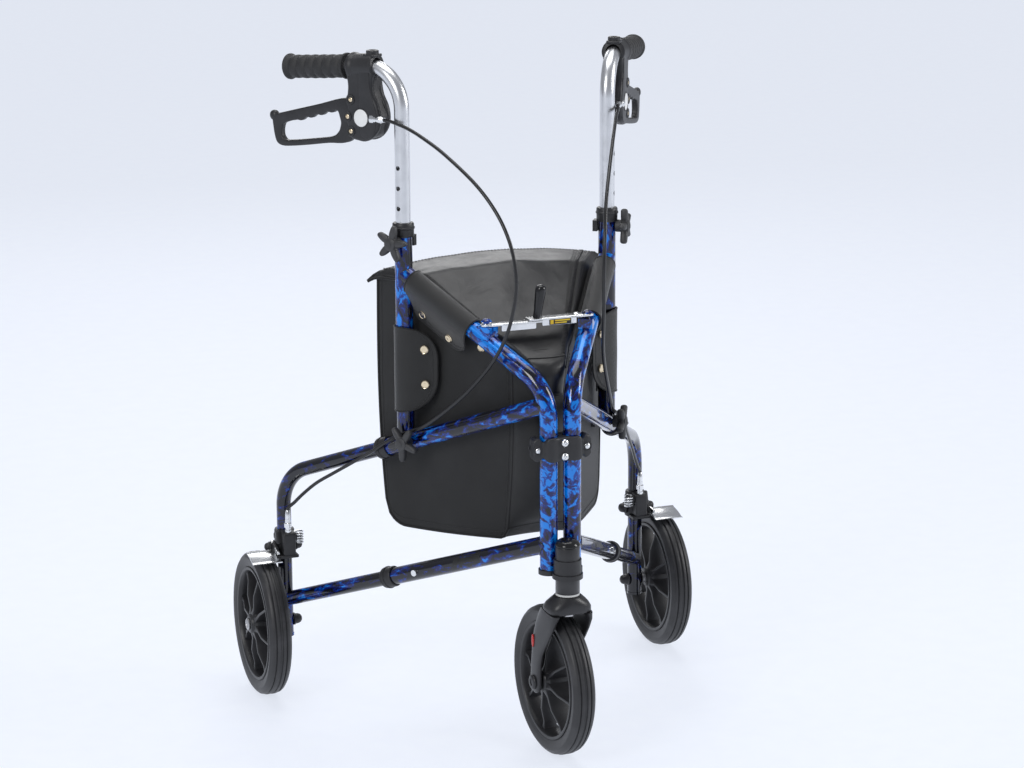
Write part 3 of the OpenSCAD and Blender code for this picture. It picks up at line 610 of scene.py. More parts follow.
# %% Gather a piece and make it an object
class Shape:
    def __init__(self):
        self.bm = bmesh.new()

    def skin(self, rings, material=0, loop=False, caps=True):
        """Faces between rings of points; each ring is closed and all are as long."""
        made = [[self.bm.verts.new(p) for p in ring] for ring in rings]
        pairs = list(zip(made, made[1:] + made[:1])) if loop else list(zip(made, made[1:]))
        faces = []
        for first, second in pairs:
            for i in range(len(first)):
                j = (i + 1) % len(first)
                faces.append((first[i], first[j], second[j], second[i]))
        if caps and not loop:
            faces += [tuple(reversed(made[0])), tuple(made[-1])]
        for corners in faces:
            self.bm.faces.new(corners).material_index = material
        return self

    def turned(self, profile, centre=(0, 0, 0), axis="x", material=0, steps=48, loop=False):
        """Turns (radius, along) points about an axis; loop closes a ring such as a tyre."""
        rings = []
        for step in range(steps):
            angle = math.tau * step / steps
            c, s = math.cos(angle), math.sin(angle)
            spots = {"x": lambda r, t: (t, r * c, r * s), "y": lambda r, t: (r * c, t, r * s),
                     "z": lambda r, t: (r * c, r * s, t)}[axis]
            rings.append([Vector(centre) + Vector(spots(max(r, 0.001), t))
                          for r, t in profile])
        made = [[self.bm.verts.new(p) for p in ring] for ring in rings]
        last = len(profile) if loop else len(profile) - 1
        for first, second in zip(made, made[1:] + made[:1]):
            for i in range(last):
                j = (i + 1) % len(profile)
                corners = (first[i], second[i], second[j], first[j])
                self.bm.faces.new(corners).material_index = material
        return self

    def run(self, path, radius, sides=12, material=0, loop=False):
        """A round bar along a path of points; radius may be a number or one per point."""
        sections = path_frames(path, loop)
        radii = radius if isinstance(radius, list) else [radius] * len(path)
        rings = []
        for (place, side_way, up_way), r in zip(sections, radii):
            rings.append([place + r * (math.cos(a) * side_way + math.sin(a) * up_way)
                          for a in (math.tau * k / sides for k in range(sides))])
        return self.skin(rings, material, loop)

    def plate(self, outlines, low, high, edge=0.8, turn="x", material=0, rounds=2):
        """A plate between low and high with rounded edges, holes cut by inner outlines."""
        mesh = plate_mesh(outlines, (high - low) / 2, edge, rounds)
        shift = Matrix.Translation((0, 0, (high + low) / 2))
        mesh.transform(PLATE_TURNS[turn] @ shift)
        return self.add(mesh, material)

    def add(self, mesh, material=None, matrix=None):
        start = len(self.bm.faces)
        if matrix is not None:
            mesh.transform(matrix)
        self.bm.from_mesh(mesh)
        self.bm.faces.ensure_lookup_table()
        if material is not None:
            for face in self.bm.faces[start:]:
                face.material_index = material
        bpy.data.meshes.remove(mesh)
        return self

    def mesh(self, materials, matrix=None, smooth=32, merge=0.004):
        bmesh.ops.remove_doubles(self.bm, verts=self.bm.verts, dist=merge)
        bmesh.ops.dissolve_degenerate(self.bm, edges=self.bm.edges, dist=merge)
        if matrix is not None:
            self.bm.transform(matrix)
        bmesh.ops.recalc_face_normals(self.bm, faces=self.bm.faces)
        mesh = bpy.data.meshes.new("shape")
        self.bm.to_mesh(mesh)
        self.bm.free()
        for material in materials:
            mesh.materials.append(material)
        mesh.shade_smooth()
        mesh.set_sharp_from_angle(angle=math.radians(smooth))
        return mesh


def path_frames(path, loop=False):
    """Each point of a path with two ways across it that turn as little as they can."""
    points = [Vector(p) for p in path]
    count = len(points)
    frames, side_way = [], None
    for i, place in enumerate(points):
        before = points[i - 1] if (i or loop) else place
        after = points[(i + 1) % count] if (i + 1 < count or loop) else place
        way = (after - before).normalized()
        if side_way is None:
            side_way = way.orthogonal()
        side_way = (side_way - way * side_way.dot(way)).normalized()
        frames.append((place, side_way.copy(), way.cross(side_way)))
    return frames


# Plates are drawn flat and then stood up: x is outward, y back, z up in a side's plane.
PLATE_TURNS = {
    "x": Matrix(((0, 0, 1, 0), (1, 0, 0, 0), (0, 1, 0, 0), (0, 0, 0, 1))),
    "y": Matrix(((1, 0, 0, 0), (0, 0, 1, 0), (0, 1, 0, 0), (0, 0, 0, 1))),
    "z": Matrix.Identity(4)}


def plate_mesh(outlines, half, edge, rounds):
    """A flat curve filled, thickened and rounded at its edges, as a mesh."""
    curve = bpy.data.curves.new("plate", "CURVE")
    curve.dimensions, curve.fill_mode = "2D", "BOTH"
    edge = min(edge, half * 0.98)
    curve.extrude, curve.bevel_depth = half - edge, edge
    curve.bevel_resolution, curve.offset = rounds, -edge
    for outline in outlines:
        spline = curve.splines.new("POLY")
        spline.points.add(len(outline) - 1)
        for point, (across, up) in zip(spline.points, outline):
            point.co = (across, up, 0, 1)
        spline.use_cyclic_u = True
    host = bpy.data.objects.new("plate", curve)
    bpy.context.scene.collection.objects.link(host)
    mesh = plain_mesh(host)
    bpy.data.objects.remove(host)
    bpy.data.curves.remove(curve)
    return mesh


def plain_mesh(host):
    graph = bpy.context.evaluated_depsgraph_get()
    graph.update()
    return bpy.data.meshes.new_from_object(host.evaluated_get(graph), depsgraph=graph)


def rounded(corners, radius, steps=4):
    """A polygon with its corners rounded; radius may be one number or one per corner."""
    points = [Vector(c) for c in corners]
    radii = radius if isinstance(radius, (list, tuple)) else [radius] * len(points)
    smooth = []
    for i, corner in enumerate(points):
        before, after = points[i - 1], points[(i + 1) % len(points)]
        reach = min(radii[i], (before - corner).length * 0.48, (after - corner).length * 0.48)
        first = corner + (before - corner).normalized() * reach
        last = corner + (after - corner).normalized() * reach
        for step in range(steps + 1):
            t = step / steps
            smooth.append((first * (1 - t) + corner * t) * (1 - t)
                          + (corner * (1 - t) + last * t) * t)
    return [tuple(p) for p in smooth]


def flowing(points, between=4, loop=False):
    """A smooth path through points."""
    known = [Vector(p) for p in points]
    count = len(known)
    path = []
    for i in range(count if loop else count - 1):
        a = known[i - 1] if (i or loop) else known[0]
        b, c = known[i], known[(i + 1) % count]
        d = known[(i + 2) % count] if (loop or i + 2 < count) else known[-1]
        for step in range(between):
            t = step / between
            path.append(0.5 * (2 * b + (c - a) * t + (2 * a - 5 * b + 4 * c - d) * t * t
                               + (3 * b - a - 3 * c + d) * t ** 3))
    return path if loop else path + [known[-1]]


def circle(radius, across=0, up=0, steps=32):
    return [(across + radius * math.cos(math.tau * k / steps),
             up + radius * math.sin(math.tau * k / steps)) for k in range(steps)]


def place_piece(name, mesh, body, replaced=()):
    """Names a finished mesh, and says what it moves with and what it stands for."""
    mesh.name = name
    piece = bpy.data.objects.new(name, mesh)
    bpy.context.scene.collection.objects.link(piece)
    if body:
        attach(piece, body)
    if replaced:
        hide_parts(*replaced)
    made_pieces.append(name)
    return piece


made_pieces = []
print("shaping tools ready")

# %% [markdown]
# Things that repeat are grown by Geometry Nodes: one tree copies a small part around an axle,
# such as the spokes of a wheel, and one sets it along a path, such as stitches. A copy is only
# an instance at first, which is light, but the finished piece must be real faces, so both
# trees end by realising the copies and giving them their finish.


# %% Two trees for repeats
class Tree:
    """A Geometry Nodes tree with named inputs, and a way to run it to a plain mesh."""

    def __init__(self, name, **inputs):
        self.tree = bpy.data.node_groups.new(name, "GeometryNodeTree")
        self.tree.interface.new_socket("Geometry", in_out="INPUT",
                                       socket_type="NodeSocketGeometry")
        for words, kind in inputs.items():
            self.tree.interface.new_socket(words, in_out="INPUT",
                                           socket_type="NodeSocket" + kind)
        self.tree.interface.new_socket("Geometry", in_out="OUTPUT",
                                       socket_type="NodeSocketGeometry")
        self.source = self.tree.nodes.new("NodeGroupInput")

    def add(self, kind, values=(), out=0, **settings):
        node = self.tree.nodes.new(kind)
        for name, value in settings.items():
            setattr(node, name, value)
        pairs = values.items() if isinstance(values, dict) else enumerate(values)
        for name, value in pairs:
            if isinstance(value, bpy.types.NodeSocket):
                self.tree.links.new(value, node.inputs[name])
            elif value is not None:
                node.inputs[name].default_value = value
        return node.outputs[out]

    def input(self, name):
        return self.source.outputs[name]

    def finish(self, instances):
        real = self.add("GeometryNodeRealizeInstances", (instances,))
        dressed = self.add("GeometryNodeSetMaterial",
                           {"Geometry": real, "Material": self.input("Finish")})
        end = self.tree.nodes.new("NodeGroupOutput")
        self.tree.links.new(dressed, end.inputs[0])

    def grow(self, mesh, **values):
        host = bpy.data.objects.new("grower", mesh)
        bpy.context.scene.collection.objects.link(host)
        modifier = host.modifiers.new("repeat", "NODES")
        modifier.node_group = self.tree
        names = {item.name: item.identifier for item in self.tree.interface.items_tree
                 if item.in_out == "INPUT"}
        for name, value in values.items():
            modifier[names[name]] = value
        grown = plain_mesh(host)
        bpy.data.objects.remove(host)
        return grown


def round_axle_tree():
    """Copies an object around the x axis, each turned so that its z points outward."""
    tree = Tree("round_axle", Part="Object", Count="Int", Start="Float", Finish="Material")
    info = tree.add("GeometryNodeObjectInfo", {"Object": tree.input("Part")}, "Geometry")
    points = tree.add("GeometryNodePoints", {"Count": tree.input("Count")})
    number = tree.add("GeometryNodeInputIndex")
    share = tree.add("ShaderNodeMath", (number, tree.input("Count")), operation="DIVIDE")
    turn = tree.add("ShaderNodeMath", (share, math.tau, tree.input("Start")),
                    operation="MULTIPLY_ADD")
    euler = tree.add("ShaderNodeCombineXYZ", (turn, 0.0, 0.0))
    rotation = tree.add("FunctionNodeEulerToRotation", (euler,))
    copies = tree.add("GeometryNodeInstanceOnPoints",
                      {"Points": points, "Instance": info, "Rotation": rotation})
    tree.finish(copies)
    return tree


def along_path_tree():
    """Sets an object along the edges of a mesh, its x along the path and z on the normal."""
    tree = Tree("along_path", Part="Object", Gap="Float", Finish="Material")
    info = tree.add("GeometryNodeObjectInfo", {"Object": tree.input("Part")}, "Geometry")
    curve = tree.add("GeometryNodeMeshToCurve", {"Mesh": tree.input("Geometry")})
    points_node = tree.tree.nodes.new("GeometryNodeCurveToPoints")
    points_node.mode = "LENGTH"
    tree.tree.links.new(curve, points_node.inputs["Curve"])
    tree.tree.links.new(tree.input("Gap"), points_node.inputs["Length"])
    facing = tree.add("GeometryNodeInputNamedAttribute", {"Name": "facing"},
                      data_type="FLOAT_VECTOR")
    on_normal = tree.add("FunctionNodeAlignRotationToVector", {"Vector": facing}, axis="Z")
    rotation = tree.add("FunctionNodeAlignRotationToVector",
                        {"Rotation": on_normal, "Vector": points_node.outputs["Tangent"]},
                        axis="X", pivot_axis="Z")
    copies = tree.add("GeometryNodeInstanceOnPoints",
                      {"Points": points_node.outputs["Points"], "Instance": info,
                       "Rotation": rotation})
    tree.finish(copies)
    return tree


round_axle, along_path = round_axle_tree(), along_path_tree()


def small_part(mesh):
    """A part for a tree to copy. It is linked nowhere, so it never shows by itself."""
    return bpy.data.objects.new("small_part", mesh)


def path_mesh(paths, facing):
    """Paths in metres as edges, each point carrying the way that a stitch faces."""
    mesh = bpy.data.meshes.new("path")
    points, edges, ways = [], [], []
    for path, way in zip(paths, facing):
        start = len(points)
        points += path
        ways += way if isinstance(way, list) else [way] * len(path)
        edges += [(start + i, start + i + 1) for i in range(len(path) - 1)]
    mesh.from_pydata(points, edges, [])
    layer = mesh.attributes.new("facing", "FLOAT_VECTOR", "POINT")
    for item, way in zip(layer.data, ways):
        item.vector = way
    return mesh


print("repeating trees ready")

# %% [markdown]
# ## Wheels
#
# A wheel is two mouldings: a hard black centre with eight thin, deep spokes, and a tyre
# stretched over it. The tyre has a broad bevelled side wall that catches the light and three
# grooves round its tread. Both are turned shapes, so each is one profile, drawn once and
# turned about the axle. A spoke is one loft, thin across and deep along the axle so that it
# is stiff where the load is, and the round_axle tree copies it eight times.

# %% Tyre and rim profiles
def mirrored(half):
    """A closed profile from its +x half, which runs from the middle outward."""
    return half + [(r, -t) for r, t in reversed(half)]


TYRE_PROFILE = mirrored([
    (93.3, 0.7), (93.5, 1.4), (94.9, 2.0), (94.9, 5.0), (94.4, 5.7), (92.6, 6.2), (92.6, 7.2),
    (94.0, 7.9), (93.4, 10.4), (91.8, 12.3), (89.4, 13.7), (88.8, 14.5), (88.0, 14.9),
    (86.4, 15.0), (79.6, 13.2), (78.2, 12.6), (76.6, 12.4), (75.6, 11.6), (74.0, 11.5)])
RIM_PROFILE = mirrored([
    (74.0, 4.0), (74.0, 11.0), (75.0, 11.6), (75.2, 12.6), (74.4, 13.3), (72.6, 13.4),
    (71.2, 12.9), (70.4, 11.8), (69.4, 8.0), (68.8, 4.0)])


def spoke_part(hub_half, rim_half):
    """A spoke along z: thin across, deep along the axle, with a foot at each end."""
    shape = Shape()
    rings = []
    for height, wide, deep in ((12, 5.0, hub_half - 3), (17, 3.4, hub_half - 4),
                               (22, 2.2, hub_half - 5), (40, 1.9, (hub_half + rim_half) / 2),
                               (60, 2.0, rim_half), (66, 2.6, rim_half), (70, 4.0, rim_half)):
        outline = rounded([(-deep, -wide), (deep, -wide), (deep, wide), (-deep, wide)], 1.2, 2)
        rings.append([(x, y, height) for x, y in outline])
    shape.skin(rings)
    return small_part(shape.mesh([rim_black], TO_METRES))


def wheel_centre(hub_half, place, bore=6):
    """The spoked centre, drawn about the origin with its axle along x."""
    shape = Shape()
    shape.turned(RIM_PROFILE, loop=True, steps=96)
    hub = [(bore, hub_half), (11, hub_half), (12.2, hub_half - 0.8), (13, hub_half - 3),
           (16, hub_half - 6), (16.6, hub_half - 8), (17, 0)]
    shape.turned(mirrored(hub[::-1]), loop=True, steps=48)
    centre = shape.mesh([rim_black], TO_METRES, 40)
    seed = bpy.data.meshes.new("seed")
    spokes = round_axle.grow(seed, Part=spoke_part(hub_half, 9), Count=8, Start=0.2,
                             Finish=rim_black)
    both = Shape()
    both.add(centre, 0).add(spokes, 0)
    return both.mesh([rim_black], place, 34, 0.000002)


def tyre_mesh(place):
    shape = Shape()
    shape.turned(TYRE_PROFILE, loop=True, steps=120)
    return shape.mesh([tyre_rubber], place @ TO_METRES, 40)


def axle_place(joint_name):
    """Puts a wheel that is drawn about x onto its own axle."""
    joint = joints[joint_name]
    turn = Vector((1, 0, 0)).rotation_difference(Vector(joint["axis"])).to_matrix().to_4x4()
    return Matrix.Translation(Vector(joint["pos_m"])) @ turn


# %% Three wheels
def wheel(word, joint_name, body, hub_half):
    place = axle_place(joint_name)
    place_piece("tyre_" + word, tyre_mesh(place), body, (TYRE_NODES[word],))
    rim = wheel_centre(hub_half, place)
    place_piece("spoked_rim_" + word, rim, body, (RIM_NODES[word],))


TYRE_NODES = {"front": "front_tyre", "left": "rear_tyre_left", "right": "rear_tyre_right"}
RIM_NODES = {"front": "front_rim", "left": "rear_rim_left", "right": "rear_rim_right"}
wheel("front", "front_wheel_spin", "front_wheel", 20)
for _, word in SIDES:
    wheel(word, "rear_wheel_spin_" + word, "rear_wheel_" + word, 18)
print("wheels", made_pieces)
# %% [markdown]
# ## Star knobs
#
# Four screw knobs lock the telescoping tubes. Each is a five-armed star moulded in grey
# nylon: slim arms that narrow to round tips, hollow between them so that fingers find a
# hold. The outline is five times the same three points, joined by a smooth curve, then cut
# as a thick plate with well-rounded edges. A turned boss and a shallow cap finish it.

# %% Star knob
KNOB_REACH, KNOB_WAIST = 22.4, 8.6


def star_outline():
    points = []
    for arm in range(5):
        for angle, reach in ((-6.5, KNOB_REACH), (6.5, KNOB_REACH), (19, 14.4),
                             (36, KNOB_WAIST), (53, 14.4)):
            turn = math.radians(90 + arm * 72 + angle)
            points.append((reach * math.cos(turn), reach * math.sin(turn), 0))
    return [(p.x, p.y) for p in flowing(points, 4, loop=True)]


def star_knob(turn):
    shape = Shape()
    shape.plate([star_outline()], 7.2, 16.6, 3.6, rounds=4)
    shape.turned([(3.6, 0.2), (7.4, 0.2), (7.9, 1.2), (7.9, 8), (3.6, 8), (3.6, 0.2)])
    shape.turned([(0, 15.5), (8.2, 15.5), (8.0, 17.0), (6.4, 17.9), (0, 18.3)])
    shape.turned([(0, 18.2), (3.4, 18.2), (3.2, 18.7), (0, 18.9)])
    return shape.mesh([knob_grey], Matrix.Rotation(turn, 4, "X"), 50)


for side, word in SIDES:
    for which, turn in (("upper", 0.2), ("lower", 0.62)):
        name = f"star_knob_{which}_{word}"
        joint = joints[f"{which}_knob_turn_{word}"]
        axes = Matrix((out_way(side), back_way(side), UP_WAY)).transposed().to_4x4()
        seat = Matrix.Translation(Vector(joint["pos_m"]))
        mesh = star_knob(turn)
        mesh.transform(seat @ axes @ TO_METRES)
        if side < 0:
            mesh.flip_normals()
        place_piece("knob_" + which + "_" + word, mesh, name, (name,))
print("knobs", made_pieces[-4:])

# %% [markdown]
# ## Handles
#
# A moulded housing clamps each handle tube just in front of the grip. It is two cheeks
# screwed together, with a slot behind for the loop lever. The cheeks are plates cut from a
# smooth outline and given a broad rounded edge, which is what a moulding's draft looks like.
# The lever is a loop that a whole hand can go through: a plate with a window, waved on the
# inside where the fingers lie. The grip is turned, then pushed out of round where the palm
# rests.


# %% Brake housing
def handle_line(side, back):
    """Stands a shape that is turned about x on the handle's axis, at a distance back."""
    way = (at(side, 0, back + 1, handle_up(back + 1)) - at(side, 0, back, handle_up(back)))
    way.normalize()
    out = out_way(side)
    up = way.cross(out) * -side
    axes = Matrix((way, out, up)).transposed().to_4x4()
    return Matrix.Translation(at(side, 0, back, handle_up(back))) @ axes @ TO_METRES


CHEEK = flowing([(p[0], p[1], 0) for p in (
    (262, 842), (262, 826), (259, 810), (252, 797), (249, 782), (252, 768), (261, 757),
    (273, 751.5), (284, 752), (293, 753.5), (299, 759), (298.5, 766), (301, 773),
    (304.5, 780), (301.5, 788), (300, 793), (302.5, 800), (300, 809), (299, 820), (301, 832),
    (302, 842))], 3, loop=True)
CHEEK = [(p.x, p.y) for p in CHEEK]
FRONT_SHELL = rounded([(262, 842), (262, 812), (249, 782), (258, 758), (276, 752),
                       (283, 764), (283, 815), (283, 842)], 6)
SCREWS_AT = ((294, 802.6), (299.2, 781), (294, 763))


def dome_screw(shape, side_out, back, up, radius, height, material, way=1):
    """A round-headed screw with a cross recess worked as a dimple, facing outward."""
    profile = [(0, side_out - 1.5 * way), (radius, side_out - 1.5 * way), (radius, side_out),
               (radius * 0.86, side_out + height * 0.55 * way),
               (radius * 0.55, side_out + height * 0.9 * way),
               (radius * 0.34, side_out + height * way),
               (radius * 0.22, side_out + height * 0.45 * way), (0, side_out + height * 0.4 * way)]
    shape.turned(profile, (0, back, up), "x", material, 24)


def housing_mesh(side):
    shape = Shape()
    shape.plate([CHEEK], 4.7, 13, 3.4, rounds=4)
    shape.plate([CHEEK], -13, -4.7, 3.4, rounds=4)
    shape.plate([FRONT_SHELL], -12.6, 12.6, 5.5, rounds=5)
    shape.plate([rounded([(264, 842), (263, 818), (252, 786), (256, 762), (268, 754),
                          (279, 760), (280, 842)], 5)], 12.2, 13.7, 0.7, rounds=2)
    for back, up in SCREWS_AT:
        shape.turned([(3.0, 12), (6.6, 12), (6.6, 13.5), (6.0, 14.2), (4.4, 14.2), (3.9, 13.4),
                      (3.0, 13.2), (3.0, 12)], (0, back, up), "x", 0, 28)
        dome_screw(shape, 12.8, back, up, 3.5, 1.3, 1)
        dome_screw(shape, -12.8, back, up, 3.5, 1.2, 1, -1)
    shape.turned([(0, 13.0), (10.9, 13.0), (10.9, 14.0), (10.2, 14.5), (0, 14.9)],
                 (0, 277, 781), "x", 2, 48)
    shape.turned([(10.9, 12.8), (12.6, 12.8), (12.4, 14.1), (11.6, 14.4), (10.9, 14.1),
                  (10.9, 12.8)], (0, 277, 781), "x", 0, 48)
    mesh = shape.mesh([nylon_black, nickel, badge_white], plane_matrix(side, 0, 0, 0), 40)
    return mesh


# The shell's own zero is the side frame's hinge line, so outlines read as back and up.
def clamp_mesh(side):
    shape = Shape()
    shape.turned([(9.6, -17), (13.4, -17), (14.9, -16), (15.4, -13), (15.5, 12), (16.2, 15),
                  (17.2, 17), (17.3, 20), (16.4, 21.6), (9.6, 21.8), (9.6, -17)], (0, 0, 0), "x",
                 0, 56)
    mesh = shape.mesh([nylon_black], handle_line(side, 278), 40)
    boss = Shape()
    boss.turned([(0, 12), (8.0, 12), (8.0, 18.4), (7.2, 19.4), (4.4, 19.4), (4.1, 17.2),
                 (0, 17.0)], (0, 268, handle_up(268)), "z", 0, 32)
    boss.plate([rounded([(-9, -9), (9, -9), (9, 9), (-9, 9)], 3)], 0, 4, 1.2, "z")
    for vert in boss.bm.verts:
        if abs(vert.co.x) <= 9.01 and abs(vert.co.y) <= 9.01:
            vert.co += Vector((0, 268, handle_up(268) + 11))
    lump = boss.mesh([nylon_black], plane_matrix(side, 0, 0, 0), 40)
    return mesh, lump


def joined_mesh(meshes, materials, smooth=36):
    """Several finished meshes as one; each keeps its own sharp edges."""
    whole = Shape()
    for mesh in meshes:
        whole.add(mesh)
    return whole.mesh(materials, None, smooth, 0.0000005)


for side, word in SIDES:
    collar, lump = clamp_mesh(side)
    mesh = joined_mesh([housing_mesh(side), collar, lump],
                       [nylon_black, nickel, badge_white], 36)
    place_piece("housing_" + word, mesh, "handle_" + word,
                ("brake_housing_" + word,))
    ferrule = Shape()
    ferrule.turned([(2.3, -3), (3.0, -3), (3.4, 0), (4.6, 1.5), (4.6, 8), (5.2, 8.6), (5.2, 11),
                    (6.2, 11.8), (6.2, 17), (2.3, 17), (2.3, -3)], (9.5, 246, 781), "y", 0, 28)
    place_piece("cable_ferrule_" + word, ferrule.mesh([zinc], plane_matrix(side, 0, 0, 0), 40),
                "handle_" + word)
print("housings ready")


# %% Loop lever
def waved(points, waves, depth):
    """A line of points pushed to one side in even waves."""
    a, b = Vector(points[0]), Vector(points[1])
    across = Vector(((b - a).y, -(b - a).x)).normalized()
    return [tuple(a.lerp(b, k / 24) + across * depth * (1 - math.cos(math.tau * waves * k / 24)) / 2)
            for k in range(1, 24)]


LEVER_OUTLINE = flowing([(p[0], p[1], 0) for p in (
    (292, 781), (290.5, 790), (294, 797), (303, 800), (317, 801), (352, 791), (390, 781),
    (418, 773.6), (428, 771), (431, 765), (430, 755), (428, 744), (424, 735), (415, 731.6),
    (400, 732.6), (370, 737), (338, 742.4), (318, 744), (304, 748), (297, 757), (293, 769))],
    3, loop=True)
WINDOW = ([(322, 784)] + waved(((324, 786.5), (392, 767)), 4, 2.8)
          + [(402, 764.5), (413.5, 760.5), (416, 752), (415.5, 744), (410, 739), (390, 741.6),
             (356, 747), (338, 750), (327, 753.5), (320.5, 760), (317.5, 770)])


def lever_mesh(side):
    shape = Shape()
    outline = [(p.x, p.y) for p in LEVER_OUTLINE]
    shape.plate([outline, rounded(WINDOW, 3.2, 3)], -4.3, 4.3, 1.9, rounds=4)
    shape.turned([(0, -5.2), (2.5, -5), (4.8, -4), (6.4, -2.2), (6.9, 0), (6.4, 2.2), (4.8, 4),
                  (2.5, 5), (0, 5.2)], (0, 430, 769), "x", 0, 28)
    return shape.mesh([nylon_black], plane_matrix(side, 0, 0, 0), 44)


def grip_mesh(side):
    """Turned grip with soft finger bands, swelling under the palm and flared at its end."""
    bands, reach = 6, 96
    profile = [(9.7, 0), (15.6, 0), (16.4, 0.8), (16.4, 3.2), (15.2, 4.6)]
    for band in range(bands):
        start = 6 + band * 14
        profile += [(13.3, start), (14.2, start + 1.2), (14.7, start + 6), (14.2, start + 11.6),
                    (13.3, start + 12.8)]
    profile += [(13.6, 90.6), (15.4, 92.4), (16.4, 94.4), (16.2, 96.2), (14.6, 97.6),
                (10, 98.0), (0.5, 97.4)]
    shape = Shape()
    shape.turned(profile, (0, 0, 0), "x", 0, 64)
    for vert in shape.bm.verts:
        along_grip = vert.co.x / reach
        palm = 1 + 0.05 * math.sin(math.pi * min(max(along_grip, 0), 1))
        if vert.co.length > 1 and math.hypot(vert.co.y, vert.co.z) > 11:
            vert.co.y *= palm * 0.985
            vert.co.z *= 1.0 if vert.co.z > 0 else palm
    return shape.mesh([grip_rubber], handle_line(side, 306.6), 40)


for side, word in SIDES:
    place_piece("loop_lever_" + word, lever_mesh(side), "brake_lever_" + word,
                ("brake_lever_" + word,))
    place_piece("hand_grip_" + word, grip_mesh(side), "handle_" + word,
                ("grip_" + word,))
print("levers and grips ready")

# %% [markdown]
# ## Collars and the hinge clamp
#
# Plastic collars close the ends of the outer tubes, so that the inner tube slides without
# rattling. They are turned, with a soft edge and a small shoulder. The hinge clamp is the
# heart of the fold: two mouldings grip both front tubes, screwed together between the tubes
# and at an ear on each side. Its face bends slightly between the tubes, so it is a loft
# whose sections bulge over each tube rather than a flat plate.


# %% Collars
def tube_matrix(side, back, up, slope):
    """Stands a shape turned about x on a tube whose height changes by slope per mm back."""
    way = (at(side, 0, back + 1, up + slope) - at(side, 0, back, up)).normalized()
    out = out_way(side)
    axes = Matrix((way, out, way.cross(out))).transposed().to_4x4()
    return Matrix.Translation(at(side, 0, back, up)) @ axes @ TO_METRES


COLLAR = [(9.56, 4.1), (10.8, 4.1), (12.6, 3.6), (13.5, 2.2), (13.6, -1), (14.4, -1.8),
          (14.5, -3.6), (13.5, -4.4), (13.4, -12.6), (12.8, -13.8), (11.2, -14), (11.2, 0),
          (9.56, 0)]
for side, word in SIDES:
    parts = []
    upright_axes = Matrix((UP_WAY, out_way(side), back_way(side) * side)).transposed().to_4x4()
    for place in (Matrix.Translation(at(side, 0, UPRIGHT_BACK, 650)) @ upright_axes
                  @ TO_METRES,
                  tube_matrix(side, 262, middle_up(262), (371.2 - 453.6) / UPRIGHT_BACK),
                  tube_matrix(side, 256, lower_up(256), (123.5 - 276.8) / LEG_BACK)):
        shape = Shape()
        shape.turned(COLLAR, loop=True, steps=48)
        parts.append(shape.mesh([nylon_black], place, 38))
    place_piece("collars_" + word, joined_mesh(parts, [nylon_black]), "side_frame_" + word,
                ("tube_collars_" + word,))
print("collars ready")


# %% Hinge clamp
CLAMP_UP, CLAMP_HALF, TUBE_X = 399, 15.5, 15.3


def clamp_depth(x):
    """How far the clamp's outer face stands off the hinge line at a distance across."""
    over_tube = math.exp(-((abs(x) - TUBE_X) / 9.5) ** 2)
    return 13.6 + 3.6 * over_tube + 1.2 * math.exp(-(x / 5.0) ** 2)


def clamp_half(way):
    """One moulding; way is -1 in front of the tubes and 1 behind them."""
    shape = Shape()
    rings = []
    for step in range(61):
        x = -37 + 74 * step / 60
        ear = max(0, abs(x) - 25) / 12
        tall = (CLAMP_HALF - 0.4) * (1 - 0.34 * math.exp(-((abs(x) - 25.5) / 3.2) ** 2)
                                     ) * math.sqrt(max(0.02, 1 - max(0, ear * 1.02 - 0.28) ** 3))
        blend = min(1, max(0, (abs(x) - 22.5) / 4))
        depth = (1 - blend) * min(clamp_depth(x), 17.2) + blend * (9.4 - 1.5 * ear ** 2)
        inner = max(0.5, math.sqrt(max(0, 12.0 ** 2 - (abs(x) - TUBE_X) ** 2)))
        inner = min(inner, depth - 2.0)
        section = rounded([(inner, -tall), (depth, -tall), (depth, tall), (inner, tall)],
                          [0.4, 3.2, 3.2, 0.4], 3)
        rings.append([(x, way * d, CLAMP_UP + z) for d, z in section])
    shape.skin(rings)
    return shape


def at_hinge():
    return Matrix.Translation((0, hinge.y * MM, 0)) @ TO_METRES


def hex_outline(radius, across, up):
    return [(across + radius * math.cos(math.tau * k / 6), up + radius * math.sin(math.tau * k / 6))
            for k in range(6)]


for way, word in ((-1, "front"), (1, "rear")):
    shape = clamp_half(way)
    for x in (-32, 32):
        shape.turned([(3.2, 6 * way), (6.2, 6 * way), (6.4, 8.6 * way), (5.6, 9.6 * way),
                      (4.6, 9.6 * way), (4.2, 8.6 * way), (3.2, 8.4 * way), (3.2, 6 * way)],
                     (x, 0, CLAMP_UP), "y", 0, 32)
    place_piece("clamp_" + word, shape.mesh([nylon_black], at_hinge(), 34), "front_hinge",
                ("hinge_clamp_" + word,))

